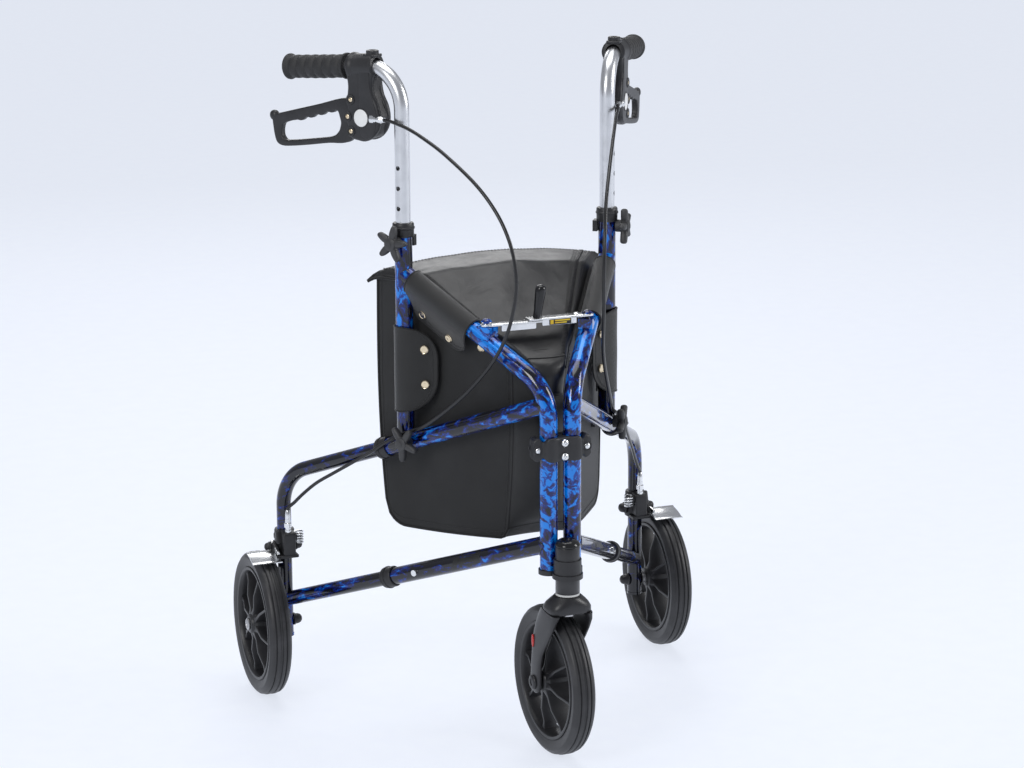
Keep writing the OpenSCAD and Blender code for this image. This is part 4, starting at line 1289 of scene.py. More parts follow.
screws = Shape()
for up in (CLAMP_UP - 8.5, CLAMP_UP + 8.5):
    screws.turned([(0, -15.0), (4.7, -15.0), (5.0, -15.6), (4.8, -17.0), (3.7, -18.4),
                   (1.9, -19.2), (1.2, -18.2), (0, -18.1)], (0, 0, up), "y", 0, 28)
    screws.plate([hex_outline(4.6, 0, up)], 15, 21.5, 0.5, "y")
    screws.turned([(0, 21.5), (2.4, 21.5), (2.4, 23.2), (0, 23.4)], (0, 0, up), "y", 0, 20)
for x in (-32, 32):
    screws.turned([(0, -8.2), (3.6, -8.2), (3.5, -9.6), (2.5, -10.6), (1.3, -11.0),
                   (1.0, -10.2), (0, -10.1)], (x, 0, CLAMP_UP), "y", 0, 28)
    screws.plate([hex_outline(4.0, x, CLAMP_UP)], 8.4, 11.8, 0.5, "y")
place_piece("clamp_screws_domed", screws.mesh([zinc], at_hinge(), 36), "front_hinge",
            ("clamp_screws",))
print("hinge clamp ready")

# %% [markdown]
# ## Fork and stem
#
# The fork is one glossy moulding: a bell under the stem that opens into two legs, which sweep
# back past the wheel to the axle and so make the caster trail. It is lofted: each leg is a row
# of oval sections along a curved line, and the crown is a row of rounded rectangles that
# spread from the stem's circle down to the legs. Subdivision would soften the sections, but
# enough sections give the same smoothness and keep the exact leg spacing.

# %% Fork
caster_place = Vector(joints["caster_swivel"]["pos_m"])
caster_turn = Vector((1, 0, 0)).rotation_difference(Vector(joints["front_wheel_spin"]["axis"]))
at_caster = (Matrix.Translation((caster_place.x, caster_place.y, 0))
             @ caster_turn.to_matrix().to_4x4() @ TO_METRES)
TRAIL, AXLE_UP = 39.4, 95


def oval(x_middle, x_half, y_middle, y_half, z, tilt=0.0, steps=28, square=0.72):
    """A rounded section lying flat at height z; square makes it fuller than an ellipse."""
    ring = []
    for k in range(steps):
        a = math.tau * k / steps
        c, s = math.cos(a), math.sin(a)
        c = math.copysign(abs(c) ** square, c)
        s = math.copysign(abs(s) ** square, s)
        y = y_middle + y_half * s
        ring.append((x_middle + x_half * c, y, z + tilt * (y - y_middle)))
    return ring


def fork_leg(shape, way):
    sections = ((197, 22.0, 6.5, 2, 21, 0.1), (190, 24.0, 4.6, 5, 22, 0.15),
                (180, 24.6, 3.6, 11, 20.5, 0.3), (168, 24.8, 3.4, 19, 18, 0.45),
                (154, 24.8, 3.4, 27.5, 15.5, 0.5), (139, 24.8, 3.4, 34, 13.4, 0.4),
                (122, 24.8, 3.4, 37.6, 12.4, 0.2), (106, 24.8, 3.5, 39, 12.6, 0.05),
                (97, 24.9, 3.7, 39.4, 13.4, 0), (88, 24.9, 3.6, 39.4, 12, 0),
                (83, 24.8, 3.0, 39.4, 8.6, 0), (80.6, 24.7, 1.6, 39.4, 3, 0))
    shape.skin([oval(way * x, half, y, y_half, z, tilt)
                for z, x, half, y, y_half, tilt in sections])
    shape.turned([(0, way * 27.4), (8.6, way * 27.4), (9.4, way * 28.6), (9.0, way * 30.6),
                  (7.2, way * 31.6), (4.4, way * 31.8), (4.0, way * 30.8), (0, way * 30.6)],
                 (0, TRAIL, AXLE_UP), "x", 0, 36)


fork_shape = Shape()
for way in (-1, 1):
    fork_leg(fork_shape, way)
CROWN = (                 # half across, middle and half back, height, squareness
    (27.4, 2, 20.5, 196.2, 0.55), (28.2, 2, 21.6, 199, 0.55), (28.0, 1.4, 21.8, 203, 0.6),
    (25.5, 0.8, 21, 208, 0.72), (22, 0.2, 19.6, 212, 0.86), (18.6, 0, 18, 215.2, 1),
    (17, 0, 17, 216.6, 1), (15.4, 0, 15.4, 216.8, 1))
fork_shape.skin([oval(0, half, y, y_half, up, 0, 48, square)
                 for half, y, y_half, up, square in CROWN])
place_piece("fork_moulding", fork_shape.mesh([fork_black], at_caster, 50), "caster",
            ("fork", "front_axle"))

insets = Shape()
for way in (-1, 1):
    slot_outline = [(41 + 3.0 * math.cos(a) * (1 if abs(math.sin(a)) < 0.98 else 0.9),
                     149 + 8.6 * math.sin(a)) for a in (math.tau * k / 32 for k in range(32))]
    low, high = sorted((way * 27.6, way * 29.2))
    insets.plate([slot_outline], low, high, 0.7)
place_piece("fork_insets", insets.mesh([inset_red], at_caster, 40), "caster",
            ("fork_reflectors",))

STEM_Y = -24.2            # the swivel axis, from the hinge line
stem = Shape()
stem.turned([(13, 219.6), (14.4, 219.6), (15, 220.4), (15, 278), (14.6, 279), (13, 279)],
            (0, STEM_Y, 0), "z", 0, 64)
stem.turned([(0, 279.4), (14.6, 279.4), (15.7, 279.9), (15.9, 281.6), (15.0, 283), (13.4, 285.4),
             (10, 287.6), (5.6, 288.7), (0, 289.0)], (0, STEM_Y, 0), "z", 1, 64)
place_piece("stem_sleeve", stem.mesh([stem_paint, dipped_vinyl], at_hinge(), 40), "front_hinge",
            ("stem_tube", "stem_cap"))
print("fork ready")

# %% [markdown]
# ## Link bars
#
# Two zinc-plated bars hold the walker open. Each is stamped from strip, with round ends
# dished round a rivet. Where they overlap, a black dipped lever stands up: a pull on it
# breaks the straight line and lets the frame fold. The bars are plates with a small edge
# radius, because stamped strip has one, and each rivet is turned.


# %% Link bars, rivets and lever
def link_bar(word):
    side = LEFT if word == "left" else RIGHT
    low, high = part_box("link_bar_" + word)
    pivot = Vector(joints["link_fold_" + word]["pos_m"]) / MM
    reach = low.x / MM if side > 0 else high.x / MM
    shape = Shape()
    half, y = 8, pivot.y
    pivot_end = [(pivot.x + side * half * math.sin(a), y + half * math.cos(a))
                 for a in (math.pi * k / 10 for k in range(11))]
    far_round = 1.6 if side > 0 else 7.0
    outline = rounded(pivot_end + [(reach, y - half), (reach, y + half)],
                      [0.2] * 11 + [far_round] * 2, 5)
    shape.plate([outline], low.z / MM, high.z / MM, 0.5, "z")
    flange = sorted((side * 4, side * (abs(pivot.x) - 17)))
    shape.plate([rounded([(flange[0], low.z / MM - 7), (flange[1], low.z / MM - 7),
                          (flange[1], low.z / MM + 1), (flange[0], low.z / MM + 1)], 1.5)],
                y - half, y - half + 1.8, 0.4, "y")
    top = high.z / MM
    shape.turned([(8.0, top - 0.8), (6.6, top + 0.7), (5.4, top + 0.5), (5.0, top - 0.4)],
                 (pivot.x, y, 0), "z", 0, 36)
    shape.turned([(0, top - 0.6), (4.8, top - 0.6), (4.6, top + 0.8), (3.4, top + 2.1),
                  (1.8, top + 2.7), (0, top + 2.9)], (pivot.x, y, 0), "z", 0, 30)
    return shape, top, y, reach


for _, word in SIDES:
    shape, top, y, reach = link_bar(word)
    if word == "right":
        shape.turned([(0, top - 0.4), (4.6, top - 0.4), (4.4, top + 0.7), (3.2, top + 1.9),
                      (1.6, top + 2.4), (0, top + 2.6)], (52, y, 0), "z", 0, 30)
        shape.turned([(2.4, 533.8), (4.2, 533.8), (4.4, 534.8), (4.0, 538.8), (2.4, 538.8)],
                     (-6, y, 0), "z", 0, 24)
    place_piece("link_" + word + "_strip", shape.mesh([zinc], TO_METRES, 34),
                "link_" + word, ("link_bar_" + word,))
low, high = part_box("link_lever")
lever_y = (low.y + high.y) / 2 / MM
lean = math.tan(math.radians(8))
foot, tip = low.z / MM, high.z / MM
lever_path = [(lean * (foot + (tip - 6 - foot) * k / 8 - foot), lever_y,
               foot + (tip - 6 - foot) * k / 8) for k in range(9)]
lever_path += [(lean * (tip - foot - d), lever_y, tip - d) for d in (4.2, 2.4, 1.0, 0.1)]
widths = [5.6, 5.2, 5.3, 5.6, 5.9, 6.2, 6.5, 6.7, 6.8, 6.5, 5.6, 3.9, 0.8]
lever = Shape()
lever.run(lever_path, widths, 24)
place_piece("fold_lever", lever.mesh([dipped_vinyl], TO_METRES, 60), "link_right",
            ("link_lever",))
tag = Shape()
tag_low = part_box("link_bar_right")[0].z / MM
link_y = Vector(joints["link_fold_right"]["pos_m"]).y / MM
tag_face = link_y - 8
tag.plate([rounded([(13, tag_low - 6.4), (42, tag_low - 6.4), (42, tag_low + 0.4),
                    (13, tag_low + 0.4)], 0.8)], tag_face - 0.4, tag_face + 0.2, 0.15, "y")
for start, end, low_edge, high_edge in ((14.5, 18.5, -5.6, -0.4), (20.5, 40.5, -2.2, -0.4),
                                        (20.5, 36, -4.9, -3.4)):
    tag.plate([[(start, tag_low + low_edge), (end, tag_low + low_edge),
                (end, tag_low + high_edge), (start, tag_low + high_edge)]],
              tag_face - 0.6, tag_face - 0.2, 0.05, "y", 1)
place_piece("link_tag", tag.mesh([label_black, label_yellow], TO_METRES, 34),
            "link_right")
print("link ready, lever from", round(foot, 1), "to", round(tip, 1))

# %% [markdown]
# ## Rear brakes
#
# A cast block clamps each rear leg above the wheel. The cable comes down into a silver
# barrel that adjusts its length, a spring holds the arm up, and the arm carries a bent strip
# of steel that presses on the tyre. The spring is a coil, so it is a round bar run along a
# helix; the rest is turned or cut from plate.

# %% Brake block, spring and adjuster
PIVOT_UP = 198


def helix(radius, low, high, turns, across, back):
    steps = int(turns * 14)
    path = []
    for k in range(steps + 1):
        a, t = math.tau * turns * k / steps, k / steps
        path.append((across + radius * math.cos(a), back + radius * math.sin(a),
                     low + (high - low) * t))
    return path


def cap_nut(shape, out, radius, length, way, up=PIVOT_UP, back=0, material=0):
    """A domed plastic cap over a nut, with a flange against the tube."""
    profile = [(0, 0), (radius, 0), (radius, 1.6), (radius * 0.86, 2.4),
               (radius * 0.82, length * 0.55), (radius * 0.66, length * 0.82),
               (radius * 0.36, length * 0.97), (0, length)]
    shape.turned([(r, out + way * t) for r, t in profile], (0, back, up), "x", material, 32)


def brake_block(side):
    shape = Shape()
    shape.turned([(9.55, 186), (12.6, 186), (13.8, 187), (14, 189), (14, 203), (13.2, 204.6),
                  (13.2, 208), (14.2, 209.4), (14.2, 214), (13.2, 215.6), (13.2, 219.4),
                  (12.4, 221.4), (10.6, 222), (9.55, 222)], (0, 0, 0), "z", 0, 48)
    shape.plate([rounded([(-25.5, 190), (-9, 190), (-9, 222), (-14, 222), (-25.5, 220)],
                         [3, 1, 1, 2, 3])], -8.6, 8.6, 2.2, rounds=3)
    shape.plate([rounded([(-25, 186.6), (-8, 186.6), (-8, 191), (-25, 191)], 1.5)],
                -12.5, 13.5, 1.4)
    shape.plate([rounded([(-16, 204), (-4, 204), (-4, 221), (-11, 222)], 3)], 7, 14.5, 1.6)
    shape.plate([rounded([(-17, 191), (6, 191), (6, 205), (-2, 206), (-17, 200)], 3)],
                12, 19, 1.8)
    cap_nut(shape, -14.2, 7.6, 9.5, -1)
    cap_nut(shape, 19.4, 6.6, 8.0, 1)
    cap_nut(shape, -9.2, 5.2, 6.5, -1, 214, -17)
    shape.run(helix(6.2, 203, 219, 4.5, -14.5, -15), 1.1, 8, 1)
    barrel = [(2.5, 221), (4.4, 221), (4.4, 224), (3.6, 224.8), (3.6, 227), (4.9, 227.6),
              (4.9, 233), (3.9, 234), (3.5, 238.8), (2.5, 239), (2.5, 221)]
    shape.turned(barrel, (0, -18, 0), "z", 1, 24)
    return shape.mesh([nylon_black, zinc], leg_matrix(side, 0, 0, 0), 38)


def shoe_arm(side):
    """Steel strip: from the pivot, out over the tyre, curved to it and turned up at its end."""
    shape = Shape()
    shape.turned([(3.1, 15), (7.6, 15), (8, 15.6), (8, 18.4), (7.6, 19), (3.1, 19), (3.1, 15)],
                 (0, 0, PIVOT_UP), "x", 0, 32)
    shape.plate([rounded([(-30, 194.6), (-12, 193), (5, 193), (5, 202), (-10, 201), (-30, 198.4)],
                         2)], 15, 18.4, 0.8)
    rings = []
    for k in range(15):
        angle = math.radians(-4 - 20 * k / 14)
        lift = 98.6 + 2.4 * max(0, (k - 11) / 3) ** 2 + 1.2 * max(0, (2 - k) / 2) ** 2
        rings.append([(x, math.sin(angle) * (lift + t), AXLE_UP + math.cos(angle) * (lift + t))
                      for x, t in rounded([(15, 0), (54, 0), (54, 1.6), (15, 1.6)], 0.5, 2)])
    shape.skin(rings)
    shape.run([(x, -24, 190.8) for x in (15.5, 30, 45, 53.5)], 1.3, 10)
    return shape.mesh([zinc], leg_matrix(side, 0, 0, 0), 34)


def leg_axle(side):
    shape = Shape()
    shape.turned([(3.9, 9.6), (8, 9.6), (8, 14.4), (7.4, 14.8), (3.9, 14.8)], (0, 0, AXLE_UP),
                 "x", 0, 32)
    shape.turned([(0, 51.2), (7.2, 51.2), (7.9, 51.8), (7.9, 53.2), (6.6, 54.2), (5, 54.4),
                  (4.6, 53.4), (0, 53.2)], (0, 0, AXLE_UP), "x", 0, 32)
    cap_nut(shape, -9.6, 8.2, 11.6, -1, AXLE_UP, 0, 1)
    return shape.mesh([steel, nylon_black], leg_matrix(side, 0, 0, 0), 38)


for side, word in SIDES:
    frame_word = "side_frame_" + word
    place_piece("brake_block_" + word, brake_block(side), frame_word,
                ("brake_bracket_" + word,))
    place_piece("shoe_" + word, shoe_arm(side), "brake_arm_" + word,
                ("brake_arm_" + word,))
    place_piece("axle_caps_" + word, leg_axle(side), frame_word,
                ("rear_axle_" + word,))
print("brakes ready")
# %% [markdown]
# ## The bag
#
# The bag is sewn, so it is made as a tailor would cut it: two side panels of nylon duck, a
# back, a full nose of coated cloth between the front tubes, a floor and a lid. The walls are
# one lofted shell: each panel is a grid of points, two adjoining panels share their edge, and
# the belly of each panel and its small unevenness are added as the grid is drawn. Cloth
# simulation could drape it, but here the frame stretches the panels flat, so the belly of
# a filled panel and hand-sized ripples say more than gravity does.

# %% Panels as grids
BAG_INSET = 20.5          # how far the panels lie inside a side frame's plane
BAG_FRONT, BAG_REAR = 71, 281           # a side panel's edges, back from the hinge line
PANEL_BELLY = 3.4                       # how far a side panel swells at its middle
NOSE_CLEAR = 26.5                       # the nose stays behind the front tubes
REAR_CORNER, FRONT_CORNER = 32, 12      # rounding of a side panel's lower corners
belly_seed = Vector((3.7, 1.3, 8.1))


def plan(side, out, back):
    """Across and back from the hinge line, for a place in a side frame's plane."""
    return (side * (hinge.x + back * SIN_OPEN + out * COS_OPEN),
            back * COS_OPEN - out * SIN_OPEN)


def rim_up(y):
    """Height of the bag's top edge at a distance back from the hinge line."""
    return 467 + 0.585 * y if y < 188 else 577 - 0.018 * (y - 188)


def ripple(point, size, reach):
    return reach * smooth_noise(Vector(point) / size + belly_seed)


def swell(a, b, power=0.8):
    """0 at a panel's edges and 1 at its middle."""
    return (max(0, math.sin(math.pi * a)) * max(0, math.sin(math.pi * b))) ** power


def corner_lift(away, radius):
    """How far a rounded corner raises an edge, at a distance from the corner."""
    inside = max(0.0, radius - away)
    return radius - math.sqrt(max(0.0, radius ** 2 - inside ** 2))


def side_rows(side, columns=34, rows=34):
    grid = []
    for j in range(rows + 1):
        t = j / rows
        row = []
        for i in range(columns + 1):
            u = i / columns
            front = BAG_FRONT + 7 * (1 - t) ** 3 - 3 * math.sin(math.pi * t)
            rear = BAG_REAR - 9 * (1 - t) ** 3 + 1.5 * math.sin(math.pi * t)
            back = front + (rear - front) * u
            y = plan(side, -BAG_INSET, back)[1]
            low = 265.5 - 13 * u - 2.5 * math.sin(math.pi * u)
            low += corner_lift(rear - back, REAR_CORNER) + corner_lift(back - front, FRONT_CORNER)
            up = low + (rim_up(y) - low) * t
            belly = PANEL_BELLY * swell(u, t) + ripple((back, 0, up), 70, 1.3) * swell(u, t, 0.4)
            x, y = plan(side, -BAG_INSET + belly, back)
            row.append(Vector((x, y, up)))
        grid.append(row)
    return grid


def nose_depth(t):
    return 5 + 34 * max(0, math.sin(math.pi * min(1, t * 1.02) ** 0.85)) ** 0.8 + 8 * t ** 3


def front_rows(left, right, columns=40):
    grid = []
    for j, (row_a, row_b) in enumerate(zip(left, right)):
        t = j / (len(left) - 1)
        a, b = row_a[0], row_b[0]
        row = []
        for i in range(columns + 1):
            u = i / columns
            place = a.lerp(b, u)
            push = nose_depth(t) * (1 - (2 * u - 1) ** 2) ** 0.72
            fold = 1.6 * math.sin(u * 19 + 5 * t) * swell(u, t, 0.5) * t
            low_y = max(NOSE_CLEAR, place.y - push - fold)
            lift = 6 * swell(u, 0.5) * (1 - t) ** 2
            row.append(Vector((place.x, low_y, place.z + lift)))
        grid.append(row)
    return grid


def rear_rows(left, right, columns=40):
    grid = []
    for j, (row_a, row_b) in enumerate(zip(left, right)):
        t = j / (len(left) - 1)
        a, b = row_a[-1], row_b[-1]
        row = []
        for i in range(columns + 1):
            u = i / columns
            place = a.lerp(b, u)
            place.y += 5 * swell(u, t) + ripple((place.x, 9, place.z), 80, 2.2) * swell(u, t, 0.5)
            place.z += 9 * math.sin(math.pi * u) * t ** 4 - floor_drop(u, a, b) * (1 - t) ** 3
            row.append(place)
        grid.append(row)
    return grid


def floor_drop(u, a, b):
    """How far the floor lies below the raised corners, u running from side to side."""
    return REAR_CORNER - corner_lift(min(u, 1 - u) * (b - a).length, REAR_CORNER)


def floor_rows(left, right, nose, columns=40):
    grid = []
    count = len(left[0]) - 1
    for i, (a, b) in enumerate(zip(left[0], right[0])):
        lifted = corner_lift((a - left[0][-1]).length, REAR_CORNER) / REAR_CORNER
        row = []
        for k in range(columns + 1):
            u = k / columns
            place = a.lerp(b, u)
            place.z -= floor_drop(u, a, b) * lifted + 4 * swell(i / count, u)
            if i / count < 0.5:
                bulge = nose[0][k] - left[0][0].lerp(right[0][0], u)
                place += bulge * (1 - 2 * i / count) ** 2
            row.append(place)
        grid.append(row)
    return grid


def grid_area(rows):
    total = 0
    for first, second in zip(rows, rows[1:]):
        for i in range(len(first) - 1):
            total += (first[i + 1] - first[i]).cross(second[i] - first[i]).length / 2
            total += (second[i] - second[i + 1]).cross(first[i + 1] - second[i + 1]).length / 2
    return total


def length_of(path):
    return sum((b - a).length for a, b in zip(path, path[1:]))


def cloth_shell(grids, thick, name="cloth"):
    """Panels as one two-sided shell, each with its own finish number and a UV map in metres."""
    bm = bmesh.new()
    uv = bm.loops.layers.uv.new("UVMap")
    for number, rows in grids:
        verts = [[bm.verts.new(p) for p in row] for row in rows]
        downs = [0.0]
        middle = len(rows[0]) // 2
        for a, b in zip(rows, rows[1:]):
            downs.append(downs[-1] + (b[middle] - a[middle]).length)
        across = [0.0]
        for a, b in zip(rows[len(rows) // 2], rows[len(rows) // 2][1:]):
            across.append(across[-1] + (b - a).length)
        for j in range(len(rows) - 1):
            for i in range(len(rows[0]) - 1):
                face = bm.faces.new((verts[j][i], verts[j][i + 1],
                                     verts[j + 1][i + 1], verts[j + 1][i]))
                face.material_index = number
                spots = ((i, j), (i + 1, j), (i + 1, j + 1), (i, j + 1))
                for loop, (ii, jj) in zip(face.loops, spots):
                    loop[uv].uv = (across[ii] * MM + number * 0.37, downs[jj] * MM)
    bmesh.ops.remove_doubles(bm, verts=bm.verts, dist=0.05)
    bmesh.ops.recalc_face_normals(bm, faces=bm.faces)
    mesh = bpy.data.meshes.new(name)
    bm.to_mesh(mesh)
    bm.free()
    host = bpy.data.objects.new(name, mesh)
    bpy.context.scene.collection.objects.link(host)
    wall = host.modifiers.new("wall", "SOLIDIFY")
    wall.thickness, wall.offset = thick, 0
    solid = plain_mesh(host)
    bpy.data.objects.remove(host)
    return solid


def dressed(mesh, materials, matrix, smooth=50):
    mesh.materials.clear()
    for material in materials:
        mesh.materials.append(material)
    mesh.transform(matrix)
    mesh.shade_smooth()
    mesh.set_sharp_from_angle(angle=math.radians(smooth))
    return mesh


def bag_piece(name, mesh, replaced=()):
    """A piece of the bag: it hangs from the hinge and has a mesh of its own."""
    piece = place_piece(name, mesh, "front_hinge", replaced)
    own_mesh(piece)
    return piece


left_side, right_side = side_rows(LEFT), side_rows(RIGHT)
front_panel = front_rows(left_side, right_side)
rear_panel = rear_rows(left_side, right_side)
bag_floor = floor_rows(left_side, right_side, front_panel)
walls = cloth_shell([(0, left_side), (0, right_side), (0, rear_panel), (1, front_panel),
                     (2, bag_floor)], 2.0)
walls = dressed(walls, [duck, vinyl_black, vinyl_grey], at_hinge(), 60)
bag_walls = bag_piece("bag_walls", walls, ("bag_body",))
panels = (left_side, right_side, rear_panel, front_panel)
round_bag = sum(length_of(rows[len(rows) // 2]) for rows in panels) * MM
cloth_area = sum(grid_area(rows) for rows in (*panels, bag_floor)) * MM * MM
print("bag walls", len(walls.polygons), "faces,", round(round_bag, 3), "m round,",
      round(cloth_area, 4), "m2")

# %% [markdown]
# The lid is one sheet of shiny coated cloth. It is domed at the back over the bag's wire,
# sags between the diagonals and turns down over the nose. Soft creases run from the corners
# where it is pulled. A zip closes it along the right-hand edge, and a binding tape covers
# every raw edge.


# %% Lid
TURNED_DOWN = 0.16        # share of the lid's length that turns down over the nose
NOSE_Y, FRONT_Y, LID_REAR_Y = 38, 72, 250
NOSE_HALF = 21            # half the lid's width over the nose
LID_INSET = 18.5


def lid_rows(columns=56, rows=60):
    """From the front edge over the nose to the rear edge, each row from left to right."""
    grid = []
    for j in range(rows + 1):
        t = j / rows
        row = []
        for i in range(columns + 1):
            u = i / columns
            if t < TURNED_DOWN:
                drop = 1 - t / TURNED_DOWN
                half = NOSE_HALF - 4 * drop
                x = (2 * u - 1) * half
                round_front = (1 - (2 * u - 1) ** 2) ** 0.5
                y = 40 - (12.6 if drop > 0.3 else 8 + 15 * drop) * round_front
                up = rim_up(34) + 5 - 34 * drop - 2 * abs(2 * u - 1)
            else:
                s = (t - TURNED_DOWN) / (1 - TURNED_DOWN)
                y = NOSE_Y + (LID_REAR_Y - NOSE_Y) * s
                if y < FRONT_Y:
                    wide = plan(RIGHT, -LID_INSET, FRONT_Y)[0]
                    span = FRONT_Y - NOSE_Y
                    half = NOSE_HALF + (wide - NOSE_HALF) * (y - NOSE_Y) / span
                    y -= 6 * (1 - (2 * u - 1) ** 2) * (FRONT_Y - y) / span
                else:
                    half = plan(RIGHT, -LID_INSET, (y - LID_INSET * SIN_OPEN) / COS_OPEN)[0]
                edge = abs(2 * u - 1)
                ear = 9 * max(0, (s - 0.93) / 0.07) ** 2 * max(0, (edge - 0.8) / 0.2) ** 2
                x = (2 * u - 1) * (half + ear)
                turn_down = -7 * max(0, (edge - 0.93) / 0.07) ** 1.5
                dome = (14 * s ** 1.6 + 3) * math.cos(edge * math.pi / 2) ** 0.7 if edge < 1 else 0
                broad = ripple((x, y * 0.5, 0), 46, 2.6)
                fine = ripple((x * 0.6 + y * 0.5, y, 40), 22, 1.5)
                crease = (broad + fine) * swell(u, 0.08 + s * 0.9, 0.6)
                pull = -4.5 * math.exp(-((s - 0.42) / 0.2) ** 2) * (1 - edge ** 2)
                up = rim_up(y) + 4.5 + dome + crease + pull + turn_down
                up -= 5 * max(0, (s - 0.965) / 0.035) ** 2
            row.append(Vector((x, y, up)))
        grid.append(row)
    return grid


lid = lid_rows()
lid_shell = cloth_shell([(0, lid)], 1.6)
lid_piece = bag_piece("bag_lid_sheet", dressed(lid_shell, [vinyl_black], at_hinge(), 60),
                      ("bag_lid",))
lid_long = length_of([row[len(row) // 2] for row in lid]) * MM
lid_wide = max(length_of(row) for row in lid) * MM
lid_area = grid_area(lid) * MM * MM
print("lid cut", round(lid_wide, 3), "by", round(lid_long, 3), "m")


# %% Piping, seams and the zip
def raised(path, way, reach):
    return [p + way * reach for p in path]


def edge_cord(shape, path, radius, loop=False):
    shape.run(path, radius, 8, 0, loop)


piping = Shape()
for side, rows in ((LEFT, left_side), (RIGHT, right_side)):
    bottom, top = rows[0], rows[-1]
    front = [row[0] for row in rows]
    rear = [row[-1] for row in rows]
    edge_cord(piping, front[:0:-1] + bottom[:-1] + rear, 2.2)
    edge_cord(piping, top, 1.8)
edge_cord(piping, front_panel[0], 1.8)
edge_cord(piping, rear_panel[0], 2.0)
edge_cord(piping, rear_panel[-1], 2.2)
bag_piece("bag_piping", piping.mesh([tape], at_hinge(), 50))
lid_edges = Shape()
edge_cord(lid_edges, [row[0] for row in lid[10:]], 1.9)
edge_cord(lid_edges, [row[-1] for row in lid[10:]], 1.9)
edge_cord(lid_edges, lid[-1], 2.3)
edge_cord(lid_edges, lid[0], 1.8)
edge_cord(lid_edges, raised(lid[12], UP_WAY, 0.7), 1.3)
bag_piece("lid_binding", lid_edges.mesh([tape], at_hinge(), 50))


def stitch_part(length, radius):
    shape = Shape()
    shape.run([(-length / 2, 0, -0.3), (-length / 3, 0, 0.28), (0, 0, 0.42),
               (length / 3, 0, 0.28), (length / 2, 0, -0.3)], radius, 6)
    return small_part(shape.mesh([thread_black], TO_METRES))


stitch = stitch_part(2.9, 0.34)


def metres(path, matrix):
    return [matrix @ p for p in path]


seams, ways = [], []
for side, rows in ((LEFT, left_side), (RIGHT, right_side)):
    outward = Vector((side * COS_OPEN, -SIN_OPEN, 0))
    for line in ([row[1] for row in rows[1:-1]], [row[-2] for row in rows[1:-1]],
                 rows[1][1:-1]):
        seams.append(metres(raised(line, outward, 1.15), at_hinge()))
        ways.append(outward)
for line in (rear_panel[1][1:-1], rear_panel[-2][1:-1]):
    seams.append(metres(raised(line, Vector((0, 1, 0)), 1.15), at_hinge()))
    ways.append(Vector((0, 1, 0)))
for line in ([row[2] for row in lid[12:-1]], [row[-3] for row in lid[12:-1]], lid[-3][1:-1]):
    seams.append(metres(raised(line, UP_WAY, 0.95), at_hinge()))
    ways.append(Vector((0, 0, 1)))
bag_seams = along_path.grow(path_mesh(seams, ways), Part=stitch, Gap=0.0044, Finish=thread_black)
bag_piece("bag_seams", bag_seams)


def zip_tooth():
    shape = Shape()
    shape.plate([rounded([(-2.6, -0.75), (2.6, -0.75), (2.6, 0.75), (-2.6, 0.75)], 0.4, 2)],
                -0.5, 1.0, 0.35, "z", rounds=1)
    shape.bm.transform(Matrix.Rotation(math.pi / 2, 4, "Z"))
    return small_part(shape.mesh([nylon_black], TO_METRES))


zip_line = [row[-6] + Vector((0, 0, 1.1)) for row in lid[13:-2]]
teeth = along_path.grow(path_mesh([metres(zip_line, at_hinge())], [Vector((0, 0, 1))]),
                        Part=zip_tooth(), Gap=0.0025, Finish=nylon_black)
bag_piece("zip_teeth", teeth)
zip_tape = [[row[k] + Vector((0, 0, 0.95)) for k in (-8, -7, -6, -5, -4)] for row in lid[12:-1]]
zip_mesh = cloth_shell([(0, zip_tape)], 0.5)
bag_piece("zip_tape", dressed(zip_mesh, [tape], at_hinge(), 50))
print("piping, seams and zip", len(bag_seams.polygons), "stitch faces")

# %% [markdown]
# Four sleeves hang the bag from the frame. Each is a strip of smooth cloth that wraps a tube
# and comes down as a flap with rounded corners, bound all round and closed with two snap
# fasteners. All four share one section, a wrap that becomes a tangent, so one function draws
# them: the tube it wraps, the way its flap hangs and the flap's outline are what differ.


# %% Sleeves and their flaps
WRAP = 13.0                       # radius of the cloth round a tube
WRAP_TURN = math.radians(205)
FIRST_FLAP, FLAP_SPAN = 17, 15    # columns of a sleeve's grid where its flap begins and ends


def sleeve_section(distance, inward):
    """Across the strip: outward and flapward at an arc distance past the tube's outer side."""
    if distance <= 0:
        angle = -distance / WRAP
        return WRAP * math.cos(angle), -WRAP * math.sin(angle)
    t = min(1.0, distance / 52)
    return WRAP - inward * (t * t * (3 - 2 * t)), distance * (1 - 0.06 * t)


def sleeve_rows(side, start, end, flap_way, reach_at, inward, columns=36, wrap_steps=16,
                flap_steps=16):
    """start and end are places on the tube's axis; reach_at gives the flap's length."""
    grid = []
    for i in range(columns + 1):
        u = i / columns
        axis_point = start.lerp(end, u)
        row = []
        for k in range(wrap_steps + 1):
            distance = -WRAP * WRAP_TURN * (1 - k / wrap_steps)
            row.append(sleeve_section(distance, inward))
        for k in range(1, flap_steps + 1):
            row.append(sleeve_section(reach_at(u) * k / flap_steps, inward))
        soft = 0.5 * ripple((u * 90, 3, start.z), 24, 1)
        grid.append([axis_point + OUT_NOW[side] * (out + soft) + flap_way * flap
                     for out, flap in row])
    return grid


OUT_NOW = {LEFT: Vector((-COS_OPEN, -SIN_OPEN, 0)), RIGHT: Vector((COS_OPEN, -SIN_OPEN, 0))}
BACK_NOW = {LEFT: Vector((-SIN_OPEN, COS_OPEN, 0)), RIGHT: Vector((SIN_OPEN, COS_OPEN, 0))}


def plane_point(side, back, up):
    x, y = plan(side, 0, back)
    return Vector((x, y, up))


